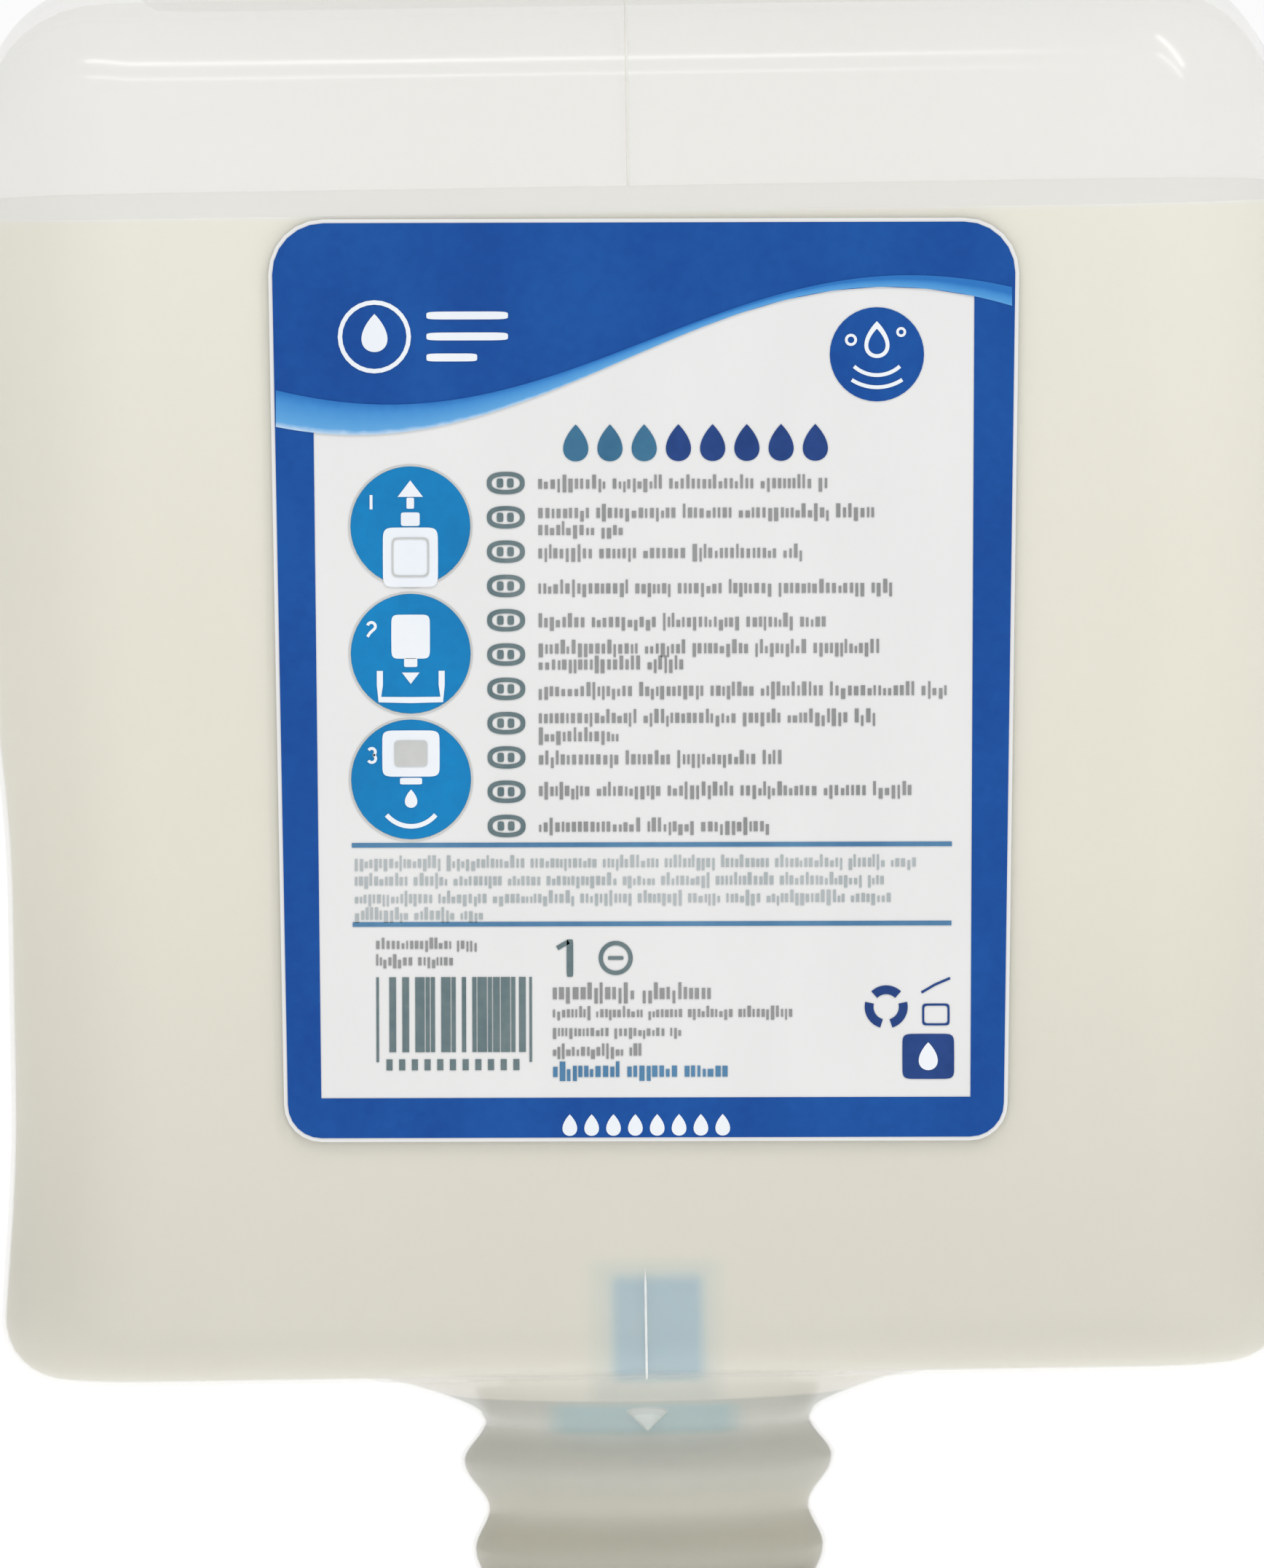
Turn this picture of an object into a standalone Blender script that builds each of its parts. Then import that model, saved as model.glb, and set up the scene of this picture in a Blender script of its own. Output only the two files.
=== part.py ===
"""Refill pack of liquid hand soap for a wall dispenser, modelled neck down as it is used.

A blow-moulded one litre bottle holds the soap. A push-in dosing pump sits in its neck: an
inlet fitting and a chamber above, a hollow piston that slides in the chamber, and a snap-on
collar that holds the chamber's flange and a gasket against the rim. A pull-off transit cap
covers the nozzle, and the pack stands on its flat end. A label is stuck on the front.

The neck's axis is the Z axis, the cap's underside is at Z = 0, and the front faces -Y.
"""
import math

import bmesh
import bpy
from mathutils import Vector
from mathutils.geometry import tessellate_polygon

MM = 0.001

# Clearances shared by the pieces
RUNNING_GAP = 0.25 * MM
FIT_GAP = 0.3 * MM
LAYER_GAP = 0.01 * MM

# Bottle body
BODY_WIDTH = 118.0 * MM
BODY_DEPTH = 84.0 * MM
BODY_HEIGHT = 127.1 * MM
WALL = 1.0 * MM
PLAN_RADIUS = 14.0 * MM
BASE_RADIUS = 11.2 * MM
SHOULDER_RADIUS = 6.3 * MM
BASE_RING = 3.0 * MM
BASE_RECESS = 1.5 * MM
BASE_RECESS_SLOPE = 2.0 * MM
BASE_RECESS_RADIUS = 7.0 * MM

# Waist of the two sides, as heights above the shoulder plane
WAIST_DEPTH = 1.8 * MM
WAIST_TOP = 74.0 * MM
WAIST_HIGH = 46.0 * MM
WAIST_LOW = 27.0 * MM
WAIST_END = -4.0 * MM

# Pedestal and neck of the bottle, as drops below the shoulder plane
PEDESTAL_RADIUS = 28.0 * MM
PEDESTAL_DROP = 3.0 * MM
NECK_TOP_RADIUS = 16.2 * MM
NECK_BORE = 13.7 * MM
NECK_WALL = 1.3 * MM
RING_STATIONS = (
    (4.1 * MM, 15.2 * MM),
    (7.8 * MM, 17.2 * MM),
    (12.1 * MM, 15.0 * MM),
    (15.9 * MM, 16.3 * MM),
    (19.9 * MM, 15.0 * MM),
)
NECK_LENGTH = 25.0 * MM
LAND_RADIUS = 15.6 * MM
LAND_START = 20.6 * MM
BEAD_RADIUS = 16.3 * MM
BEAD_ABOVE_RIM = 1.4 * MM
BEAD_WIDTH = 1.7 * MM
RIM_CHAMFER = 0.4 * MM

# Moulded V lug on the front of the neck
LUG_HALF_WIDTH = 2.3 * MM
LUG_LENGTH = 5.1 * MM
LUG_PROUD = 1.3 * MM
LUG_ROOT = 1.1 * MM

# Transit cap
CAP_FLOOR = 1.4 * MM
CAP_WALL = 1.5 * MM
CAP_CHAMFER = 0.8 * MM

# Nozzle and piston
NOZZLE_CLEAR = 1.0 * MM
NOZZLE_LENGTH = 2.2 * MM
NOZZLE_RADIUS = 4.0 * MM
PUSH_DISC_RADIUS = 7.5 * MM
PUSH_DISC_THICKNESS = 1.4 * MM
STEM_RADIUS = 3.6 * MM
STEM_BORE = 1.8 * MM
STROKE = 6.5 * MM
STROKE_SPARE = 0.4 * MM
PISTON_WAIST = 5.0 * MM
PISTON_LIP = 2.2 * MM
PISTON_LIP_DISH = 0.8 * MM
PISTON_GUIDE = 1.5 * MM
VALVE_SEAT_DEPTH = 3.2 * MM
VALVE_POCKET = 2.7 * MM

# Pump chamber, gasket and inlet fitting
CHAMBER_BORE = 7.0 * MM
CHAMBER_WALL = 0.9 * MM
FLANGE_RADIUS = 15.4 * MM
FLANGE_THICKNESS = 1.2 * MM
GASKET_THICKNESS = 0.8 * MM
INLET_DROP = 2.8 * MM
INLET_BAND = 2.9 * MM
INLET_PLATE = 1.2 * MM
INLET_SKIRT = 0.9 * MM
TUBE_RADIUS = 4.15 * MM
TUBE_BORE = 3.1 * MM
TUBE_RISE = 11.0 * MM
TUBE_CHAMFER = 0.4 * MM
PORT_RADIUS = 0.7 * MM
PORT_CIRCLE = 2.1 * MM
PORT_COUNT = 6
DRAIN_SLOT_WIDTH = 1.6 * MM
DRAIN_SLOT_HEIGHT = 5.0 * MM
INLET_VALVE_RADIUS = 4.4 * MM
INLET_VALVE_THICKNESS = 0.5 * MM
INLET_VALVE_STEM = 0.8 * MM
INLET_VALVE_BULB = 1.1 * MM

# Outlet valve
OUTLET_FLANGE = 0.8 * MM
OUTLET_BODY_RADIUS = 1.9 * MM
OUTLET_TIP_RADIUS = 1.0 * MM
OUTLET_WALL = 0.5 * MM
OUTLET_SLIT = 0.3 * MM

# Retaining collar
COLLAR_END = 1.4 * MM
COLLAR_WALL = 1.6 * MM
COLLAR_SKIRT = 5.6 * MM
COLLAR_LIP = 0.7 * MM
SPIGOT_LENGTH = 3.5 * MM
SPIGOT_WALL = 1.4 * MM

# Soap
SOAP_LEVEL = 107.4 * MM

# Label. Its print hangs from its top edge: across is measured from the label's middle or from
# one of its sides, and each drop from its top edge
LABEL_THICKNESS = 0.15 * MM
PRINT_THICKNESS = 0.05 * MM
LABEL_TOP_WIDTH = 67.7 * MM
LABEL_BOTTOM_WIDTH = 65.3 * MM
LABEL_HEIGHT = 83.3 * MM
LABEL_TOP_RADIUS = 4.95 * MM
LABEL_BOTTOM_RADIUS = 3.4 * MM
LABEL_MARGIN = 0.35 * MM
LABEL_ACROSS = 0.8 * MM
LABEL_UP = 65.1 * MM
LABEL_TURN = math.radians(0.75)
FRAME_TOP_SIDE = 3.95 * MM
FRAME_BOTTOM_SIDE = 3.4 * MM
FRAME_FOOT = 3.95 * MM
WAVE_LOW = (12.8 * MM, 6.6 * MM, -25.9 * MM, 47.8 * MM)
WAVE_HIGH = (10.95 * MM, 5.8 * MM, -22.9 * MM, 46.8 * MM)
WAVE_STEPS = 14
DISC_RADIUS = 5.4 * MM
DISC_INSET = 12.75 * MM
DISC_DROP = 27.7 * MM
DISC_GAPS = (0.7 * MM, 0.55 * MM)
MARK_RADIUS = 4.25 * MM
MARK_INSET = 12.85 * MM
MARK_DROP = 12.3 * MM
EMBLEM_RADIUS = 3.3 * MM
EMBLEM_BORE = 2.9 * MM
EMBLEM_INSET = 9.55 * MM
EMBLEM_DROP = 10.6 * MM
HEADING_LENGTH = 23.6 * MM
HEADING_HEIGHT = 2.9 * MM
HEADING_ACROSS = 4.65 * MM
HEADING_DROP = 20.65 * MM
RULE_LEFT_INSET = 3.0 * MM
RULE_RIGHT_INSET = 1.8 * MM
RULE_THICKNESS = 0.42 * MM
RULE_GAP = 0.55 * MM
BAR_FIELD_LENGTH = 14.1 * MM
BAR_FIELD_HEIGHT = 7.7 * MM
BAR_FIELD_INSET = 16.55 * MM
# Parts of the free height under the first rule: small print, space above the bar field, space below.
FREE_PARTS = (143, 96, 64)

# Facets
CORNER_STEPS = 8
SIDE_STEPS = 4
SOAP_CORNER_STEPS = 6
SOAP_SIDE_STEPS = 2
NECK_FACETS = 40
PUMP_FACETS = 28
VALVE_FACETS = 20
RING_STEPS = 4
BORE_RING_STEPS = 2

# Heights that follow from the stack of pieces, from the cap's underside upwards
NOZZLE_Z = CAP_FLOOR + NOZZLE_CLEAR
DISC_Z = NOZZLE_Z + NOZZLE_LENGTH
DISC_TOP_Z = DISC_Z + PUSH_DISC_THICKNESS
COLLAR_Z = DISC_TOP_Z + STROKE + STROKE_SPARE
FLANGE_Z = COLLAR_Z + COLLAR_END
GASKET_Z = FLANGE_Z + FLANGE_THICKNESS
RIM_Z = GASKET_Z + GASKET_THICKNESS
SHOULDER_Z = RIM_Z + NECK_LENGTH
BASE_Z = SHOULDER_Z + BODY_HEIGHT
PLATE_TOP_Z = SHOULDER_Z - INLET_DROP
PLATE_Z = PLATE_TOP_Z - INLET_PLATE
SKIRT_Z = PLATE_TOP_Z - INLET_BAND
TUBE_TOP_Z = SHOULDER_Z + TUBE_RISE
PISTON_TOP_Z = PLATE_Z - INLET_VALVE_THICKNESS - STROKE_SPARE - STROKE
SOAP_TOP_Z = SHOULDER_Z + SOAP_LEVEL

# Radii that follow from the fits
CHAMBER_RADIUS = CHAMBER_BORE + CHAMBER_WALL
INLET_SKIRT_BORE = CHAMBER_RADIUS + FIT_GAP
INLET_RADIUS = INLET_SKIRT_BORE + INLET_SKIRT
COLLAR_BORE = BEAD_RADIUS + FIT_GAP
COLLAR_RADIUS = COLLAR_BORE + COLLAR_WALL
CAP_BORE = COLLAR_RADIUS - CAP_WALL
SPIGOT_RADIUS = CAP_BORE - FIT_GAP
FRONT_Y = -BODY_DEPTH / 2


def clear_scene():
    for item in list(bpy.data.objects):
        bpy.data.objects.remove(item, do_unlink=True)


def finish_material(name, colour, roughness, metallic=0.0):
    material = bpy.data.materials.new(name)
    material.use_nodes = True
    shader = material.node_tree.nodes["Principled BSDF"]
    shader.inputs["Base Color"].default_value = (*colour, 1.0)
    shader.inputs["Roughness"].default_value = roughness
    shader.inputs["Metallic"].default_value = metallic
    return material


def place_object(name, form, material, parent=None):
    """Turn a bmesh into a named object, shaded smooth across its shallow edges."""
    bmesh.ops.recalc_face_normals(form, faces=form.faces)
    mesh = bpy.data.meshes.new(name)
    form.to_mesh(mesh)
    form.free()
    mesh.shade_smooth()
    mesh.set_sharp_from_angle(angle=math.radians(35))
    mesh.materials.append(material)
    item = bpy.data.objects.new(name, mesh)
    bpy.context.scene.collection.objects.link(item)
    item.parent = parent
    return item


def place_cutter(name, form):
    """An object that only cuts others: shown as wire and never rendered."""
    bmesh.ops.recalc_face_normals(form, faces=form.faces)
    mesh = bpy.data.meshes.new(name)
    form.to_mesh(mesh)
    form.free()
    item = bpy.data.objects.new(name, mesh)
    bpy.context.scene.collection.objects.link(item)
    item.hide_render = True
    item.display_type = "WIRE"
    return item


def apply_boolean(item, cutter, operation):
    modifier = item.modifiers.new(cutter.name, "BOOLEAN")
    modifier.operation = operation
    modifier.solver = "EXACT"
    modifier.object = cutter


def revolve(profile, facets, centre=(0.0, 0.0)):
    """Spin a closed profile of (radius, height) points round the upright axis."""
    form = bmesh.new()
    points = [form.verts.new((radius, 0.0, height)) for radius, height in profile]
    edges = [form.edges.new(pair) for pair in zip(points, points[1:] + points[:1])]
    bmesh.ops.spin(
        form,
        geom=points + edges,
        cent=(0.0, 0.0, 0.0),
        axis=(0.0, 0.0, 1.0),
        angle=2 * math.pi,
        steps=facets,
        use_merge=True,
    )
    bmesh.ops.remove_doubles(form, verts=form.verts, dist=0.001 * MM)
    on_axis = [edge for edge in form.edges if not edge.link_faces]
    bmesh.ops.delete(form, geom=on_axis, context="EDGES")
    bmesh.ops.translate(form, verts=form.verts, vec=(*centre, 0.0))
    return form


def skin_rings(rings):
    """Skin a row of rings of equal count, and close the first and the last with a flat face."""
    form = bmesh.new()
    rows = [[form.verts.new(point) for point in ring] for ring in rings]
    for row, following in zip(rows, rows[1:]):
        for first, second in zip(range(len(row)), list(range(1, len(row))) + [0]):
            form.faces.new((row[first], row[second], following[second], following[first]))
    form.faces.new(rows[0])
    form.faces.new(rows[-1])
    return form


def rounded_ring(half_width, half_depth, radius, height, steps):
    """One ring in plan of a rounded rectangle. steps is (steps in a corner, steps along a side)."""
    corner_steps, side_steps = steps
    signs = ((1, 1), (-1, 1), (-1, -1), (1, -1))
    corners = []
    for quadrant, (side_x, side_y) in enumerate(signs):
        arc = []
        for step in range(corner_steps + 1):
            angle = math.radians(90 * (quadrant + step / corner_steps))
            across = side_x * (half_width - radius) + radius * math.cos(angle)
            along = side_y * (half_depth - radius) + radius * math.sin(angle)
            arc.append(Vector((across, along, height)))
        corners.append(arc)
    ring = []
    for arc, following in zip(corners, corners[1:] + corners[:1]):
        ring += arc
        ring += [arc[-1].lerp(following[0], step / side_steps) for step in range(1, side_steps)]
    return ring


def round_ring(radius, height, steps):
    """One circle with the same points as a rounded ring, so that the two can be skinned."""
    corner_steps, side_steps = steps
    count = corner_steps + side_steps
    ring = []
    for index in range(4 * count):
        quadrant, step = divmod(index, count)
        angle = math.radians(90 * quadrant + 45 + 90 * (step - corner_steps / 2) / count)
        ring.append(Vector((radius * math.cos(angle), radius * math.sin(angle), height)))
    return ring


def ease(share):
    """Smooth step from 0 to 1."""
    share = min(max(share, 0.0), 1.0)
    return share * share * (3 - 2 * share)


def side_half_width(height):
    """Half width of the body at a height: full at both ends, drawn in at the waist."""
    above = height - SHOULDER_Z
    if above > WAIST_HIGH:
        drawn = ease((WAIST_TOP - above) / (WAIST_TOP - WAIST_HIGH))
    else:
        drawn = ease((above - WAIST_END) / (WAIST_LOW - WAIST_END))
    return BODY_WIDTH / 2 - WAIST_DEPTH * drawn


def body_ring(height, inset, steps):
    """One ring of the body, inset evenly from its outside."""
    half_width = side_half_width(height) - inset
    half_depth = BODY_DEPTH / 2 - inset
    return rounded_ring(half_width, half_depth, max(PLAN_RADIUS - inset, MM), height, steps)


def arc_shares(count):
    """Sine and one-minus-cosine of a quarter turn, from its crown down to its side."""
    angles = [math.radians(90 * (1 - step / count)) for step in range(count + 1)]
    return [(math.sin(angle), 1 - math.cos(angle)) for angle in angles]


def side_heights(count):
    """Heights of the plain side, from the base radius down to the shoulder radius."""
    low = SHOULDER_Z + SHOULDER_RADIUS
    high = BASE_Z - BASE_RADIUS
    turn = SHOULDER_Z + WAIST_TOP
    return [high] + [turn + (low - turn) * step / count for step in range(count + 1)]


def ring_profile(offset, swing_steps):
    """(radius, height) down the neck's rings, offset inwards: a half cosine between stations."""
    stations = ((PEDESTAL_DROP, NECK_TOP_RADIUS),) + RING_STATIONS
    profile = [(NECK_TOP_RADIUS - offset, SHOULDER_Z - PEDESTAL_DROP)]
    for (drop, radius), (next_drop, next_radius) in zip(stations, stations[1:]):
        count = 2 if drop == PEDESTAL_DROP else swing_steps
        for step in range(1, count + 1):
            swing = (1 - math.cos(math.pi * step / count)) / 2
            height = SHOULDER_Z - drop - (next_drop - drop) * step / count
            profile.append((radius + (next_radius - radius) * swing - offset, height))
    return profile


def neck_rings(steps):
    """Outside of the neck from the pedestal to the rim: level rings, then the closure's land."""
    bead_low = RIM_Z + BEAD_ABOVE_RIM
    bead_high = bead_low + BEAD_WIDTH
    bead_slope = BEAD_RADIUS - LAND_RADIUS
    land = [
        (LAND_RADIUS, SHOULDER_Z - LAND_START),
        (LAND_RADIUS, bead_high),
        (BEAD_RADIUS, bead_high - bead_slope),
        (BEAD_RADIUS, bead_low + bead_slope / 2),
        (LAND_RADIUS, bead_low),
        (LAND_RADIUS, RIM_Z + RIM_CHAMFER),
        (LAND_RADIUS - RIM_CHAMFER, RIM_Z),
    ]
    profile = [(PEDESTAL_RADIUS, SHOULDER_Z)] + ring_profile(0.0, RING_STEPS) + land
    return [round_ring(radius, height, steps) for radius, height in profile]


def outer_rings(steps):
    """Outside of the bottle, from the recess in its base down to its rim."""
    base_flat = BASE_RADIUS + BASE_RING
    rings = []
    for inset, height in (
        (base_flat + BASE_RECESS_SLOPE, BASE_Z - BASE_RECESS),
        (base_flat, BASE_Z),
    ):
        half_width = BODY_WIDTH / 2 - inset
        half_depth = BODY_DEPTH / 2 - inset
        rings.append(rounded_ring(half_width, half_depth, BASE_RECESS_RADIUS, height, steps))
    for rise, inset in arc_shares(6):
        height = BASE_Z - BASE_RADIUS + BASE_RADIUS * rise
        rings.append(body_ring(height, BASE_RADIUS * inset, steps))
    for height in side_heights(9)[1:]:
        rings.append(body_ring(height, 0.0, steps))
    for rise, inset in reversed(arc_shares(5)[:-1]):
        height = SHOULDER_Z + SHOULDER_RADIUS - SHOULDER_RADIUS * rise
        rings.append(body_ring(height, SHOULDER_RADIUS * inset, steps))
    return rings + neck_rings(steps)


def cavity_rings(gap, mouth_z, top_z, steps):
    """Rings of the bottle's inside, gap away from its wall, from the neck's mouth upwards.

    The cavity ends flat at top_z, or under the recessed base where top_z is None.
    """
    inset = WALL + gap
    shoulder = SHOULDER_RADIUS - inset
    bore = list(reversed(ring_profile(NECK_WALL + gap, BORE_RING_STEPS)))[:-1]
    neck = [(NECK_BORE - gap, mouth_z)] + bore
    neck.append((NECK_TOP_RADIUS - NECK_WALL - gap, SHOULDER_Z - PEDESTAL_DROP + inset))
    neck.append((PEDESTAL_RADIUS - inset, SHOULDER_Z + inset))
    rings = [round_ring(radius, height, steps) for radius, height in neck]
    for rise, drawn in arc_shares(5):
        height = SHOULDER_Z + SHOULDER_RADIUS - shoulder * rise
        rings.append(body_ring(height, inset + shoulder * drawn, steps))
    for height in reversed(side_heights(9)[1:-1]):
        rings.append(body_ring(height, inset, steps))
    if top_z is not None:
        rings.append(body_ring(top_z, inset, steps))
        return rings
    crown = BASE_RADIUS - inset
    ceiling = crown - BASE_RECESS
    for rise, drawn in reversed(arc_shares(5)):
        height = BASE_Z - BASE_RADIUS + ceiling * rise
        rings.append(body_ring(height, inset + crown * drawn, steps))
    return rings


def prism(outline, depth_near, depth_far):
    """Extrude an outline of (across, up) points between two depths."""
    form = bmesh.new()
    near = [form.verts.new((across, depth_near, up)) for across, up in outline]
    far = [form.verts.new((across, depth_far, up)) for across, up in outline]
    form.faces.new(near)
    form.faces.new(far)
    for first, second in zip(range(len(outline)), list(range(1, len(outline))) + [0]):
        form.faces.new((near[first], near[second], far[second], far[first]))
    return form


def box_form(low, high):
    form = bmesh.new()
    bmesh.ops.create_cube(form, size=1.0)
    for vert in form.verts:
        for axis in range(3):
            vert.co[axis] = low[axis] if vert.co[axis] < 0 else high[axis]
    return form


def make_bottle(material):
    """Blow-moulded shell, open at its neck, with the V lug on the neck's front."""
    steps = (CORNER_STEPS, SIDE_STEPS)
    bottle = place_object(
        "bottle",
        skin_rings(outer_rings(steps) + cavity_rings(0.0, RIM_Z, None, steps)),
        material,
    )
    lug_top = SHOULDER_Z - PEDESTAL_DROP + 0.8 * WALL
    outline = (
        (-LUG_HALF_WIDTH, lug_top),
        (LUG_HALF_WIDTH, lug_top),
        (0.0, SHOULDER_Z - LUG_LENGTH),
    )
    near = -(NECK_TOP_RADIUS + LUG_PROUD)
    lug = place_cutter("neck_lug_form", prism(outline, near, LUG_ROOT - NECK_TOP_RADIUS))
    apply_boolean(bottle, lug, "UNION")
    return bottle


def make_soap(material):
    """The soap: it fills the bottle to its level, round the pump and into the inlet tube."""
    steps = (SOAP_CORNER_STEPS, SOAP_SIDE_STEPS)
    around = (
        (TUBE_BORE - FIT_GAP, PLATE_TOP_Z + 3 * INLET_VALVE_BULB),
        (TUBE_BORE - FIT_GAP, TUBE_TOP_Z + FIT_GAP),
        (TUBE_RADIUS + FIT_GAP, TUBE_TOP_Z + FIT_GAP),
        (TUBE_RADIUS + FIT_GAP, PLATE_TOP_Z + FIT_GAP),
        (INLET_RADIUS + FIT_GAP, PLATE_TOP_Z + FIT_GAP),
        (INLET_RADIUS + FIT_GAP, SKIRT_Z - FIT_GAP),
        (CHAMBER_RADIUS + FIT_GAP, SKIRT_Z - FIT_GAP),
        (CHAMBER_RADIUS + FIT_GAP, RIM_Z),
    )
    rings = [round_ring(radius, height, steps) for radius, height in around]
    rings += cavity_rings(FIT_GAP, RIM_Z, SOAP_TOP_Z, steps)
    return place_object("soap_fill", skin_rings(rings), material)


def make_inlet_fitting(material):
    """Blue inlet fitting: a tube and a ported plate, with a skirt that snaps over the chamber."""
    profile = (
        (INLET_VALVE_STEM + RUNNING_GAP, PLATE_Z),
        (INLET_SKIRT_BORE, PLATE_Z),
        (INLET_SKIRT_BORE, SKIRT_Z),
        (INLET_RADIUS, SKIRT_Z),
        (INLET_RADIUS, PLATE_TOP_Z - TUBE_CHAMFER),
        (INLET_RADIUS - TUBE_CHAMFER, PLATE_TOP_Z),
        (TUBE_RADIUS, PLATE_TOP_Z),
        (TUBE_RADIUS, TUBE_TOP_Z - TUBE_CHAMFER),
        (TUBE_RADIUS - TUBE_CHAMFER, TUBE_TOP_Z),
        (TUBE_BORE, TUBE_TOP_Z),
        (TUBE_BORE, PLATE_TOP_Z),
        (INLET_VALVE_STEM + RUNNING_GAP, PLATE_TOP_Z),
    )
    fitting = place_object("inlet_fitting", revolve(profile, PUMP_FACETS), material)
    for index in range(PORT_COUNT):
        angle = 2 * math.pi * index / PORT_COUNT
        centre = (PORT_CIRCLE * math.cos(angle), PORT_CIRCLE * math.sin(angle))
        hole = ((0.0, PLATE_Z - MM), (PORT_RADIUS, PLATE_Z - MM))
        hole += ((PORT_RADIUS, PLATE_TOP_Z + MM), (0.0, PLATE_TOP_Z + MM))
        cutter = place_cutter(f"inlet_port_form_{index + 1}", revolve(hole, 10, centre))
        apply_boolean(fitting, cutter, "DIFFERENCE")
    slot_low = PLATE_TOP_Z + TUBE_CHAMFER
    low = (-TUBE_RADIUS - MM, -DRAIN_SLOT_WIDTH / 2, slot_low)
    high = (TUBE_RADIUS + MM, DRAIN_SLOT_WIDTH / 2, slot_low + DRAIN_SLOT_HEIGHT)
    apply_boolean(fitting, place_cutter("drain_slot_form", box_form(low, high)), "DIFFERENCE")
    return fitting


def make_inlet_valve(material):
    """Rubber umbrella valve: its disc covers the ports, its bulb holds it in the plate."""
    disc_z = PLATE_Z - INLET_VALVE_THICKNESS
    bulb_z = PLATE_TOP_Z + FIT_GAP / 2
    profile = (
        (0.0, disc_z),
        (INLET_VALVE_RADIUS * 0.9, disc_z),
        (INLET_VALVE_RADIUS, PLATE_Z - LAYER_GAP),
        (INLET_VALVE_STEM, PLATE_Z - LAYER_GAP),
        (INLET_VALVE_STEM, bulb_z),
        (INLET_VALVE_BULB, bulb_z),
        (INLET_VALVE_STEM * 0.6, bulb_z + INLET_VALVE_BULB * 1.6),
        (0.0, bulb_z + INLET_VALVE_BULB * 1.8),
    )
    return place_object("inlet_valve", revolve(profile, VALVE_FACETS), material)


def make_chamber(material):
    """Pump chamber: a straight cylinder whose flange is held between collar and gasket."""
    profile = (
        (CHAMBER_BORE, FLANGE_Z),
        (FLANGE_RADIUS, FLANGE_Z),
        (FLANGE_RADIUS, GASKET_Z),
        (CHAMBER_RADIUS + CHAMBER_WALL, GASKET_Z),
        (CHAMBER_RADIUS, GASKET_Z + CHAMBER_WALL),
        (CHAMBER_RADIUS, PLATE_Z - LAYER_GAP),
        (CHAMBER_BORE, PLATE_Z - LAYER_GAP),
    )
    return place_object("pump_chamber", revolve(profile, NECK_FACETS), material)


def make_gasket(material):
    """Flat sealing ring between the chamber's flange and the bottle's rim."""
    profile = (
        (NECK_BORE, GASKET_Z + LAYER_GAP),
        (LAND_RADIUS - RIM_CHAMFER, GASKET_Z + LAYER_GAP),
        (LAND_RADIUS - RIM_CHAMFER, RIM_Z - LAYER_GAP),
        (NECK_BORE, RIM_Z - LAYER_GAP),
    )
    return place_object("neck_gasket", revolve(profile, NECK_FACETS), material)


def make_piston(material, parent):
    """Hollow piston in one piece: lip and guide ring, stem, push disc and nozzle."""
    radius = CHAMBER_BORE - RUNNING_GAP
    guide_z = FLANGE_Z + FIT_GAP
    lip_z = PISTON_TOP_Z - PISTON_LIP
    profile = (
        (NOZZLE_RADIUS - 2 * FIT_GAP, NOZZLE_Z),
        (NOZZLE_RADIUS, DISC_Z),
        (PUSH_DISC_RADIUS - FIT_GAP, DISC_Z),
        (PUSH_DISC_RADIUS, DISC_Z + FIT_GAP),
        (PUSH_DISC_RADIUS, DISC_TOP_Z - FIT_GAP),
        (PUSH_DISC_RADIUS - FIT_GAP, DISC_TOP_Z),
        (STEM_RADIUS, DISC_TOP_Z),
        (STEM_RADIUS, guide_z),
        (radius, guide_z),
        (radius, guide_z + PISTON_GUIDE),
        (PISTON_WAIST, guide_z + PISTON_GUIDE),
        (PISTON_WAIST, lip_z),
        (radius, lip_z),
        (radius, PISTON_TOP_Z),
        (radius - PISTON_LIP_DISH, PISTON_TOP_Z),
        (PISTON_WAIST - PISTON_LIP_DISH, PISTON_TOP_Z - PISTON_LIP_DISH),
        (STEM_BORE, PISTON_TOP_Z - PISTON_LIP_DISH),
        (STEM_BORE, NOZZLE_Z + VALVE_SEAT_DEPTH),
        (VALVE_POCKET, NOZZLE_Z + VALVE_SEAT_DEPTH),
        (VALVE_POCKET, NOZZLE_Z),
    )
    return place_object("piston", revolve(profile, PUMP_FACETS), material, parent)


def make_outlet_valve(material, parent):
    """Rubber duckbill in the nozzle: a flanged cup that narrows to a slit tip."""
    top = NOZZLE_Z + VALVE_SEAT_DEPTH - LAYER_GAP
    flange = top - OUTLET_FLANGE
    tip = NOZZLE_Z + FIT_GAP
    profile = (
        (0.0, tip),
        (OUTLET_TIP_RADIUS, tip),
        (OUTLET_BODY_RADIUS, flange - OUTLET_WALL),
        (OUTLET_BODY_RADIUS, flange),
        (VALVE_POCKET - FIT_GAP / 2, flange),
        (VALVE_POCKET - FIT_GAP / 2, top),
        (OUTLET_BODY_RADIUS - OUTLET_WALL, top),
        (OUTLET_BODY_RADIUS - OUTLET_WALL, flange - OUTLET_WALL),
        (OUTLET_TIP_RADIUS - OUTLET_WALL, tip + OUTLET_WALL),
        (0.0, tip + OUTLET_WALL),
    )
    valve = place_object("outlet_valve", revolve(profile, VALVE_FACETS), material, parent)
    low = (-OUTLET_TIP_RADIUS * 0.7, -OUTLET_SLIT / 2, tip - OUTLET_WALL)
    high = (OUTLET_TIP_RADIUS * 0.7, OUTLET_SLIT / 2, tip + OUTLET_WALL * 1.5)
    apply_boolean(valve, place_cutter("valve_slit_form", box_form(low, high)), "DIFFERENCE")
    return valve


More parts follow.
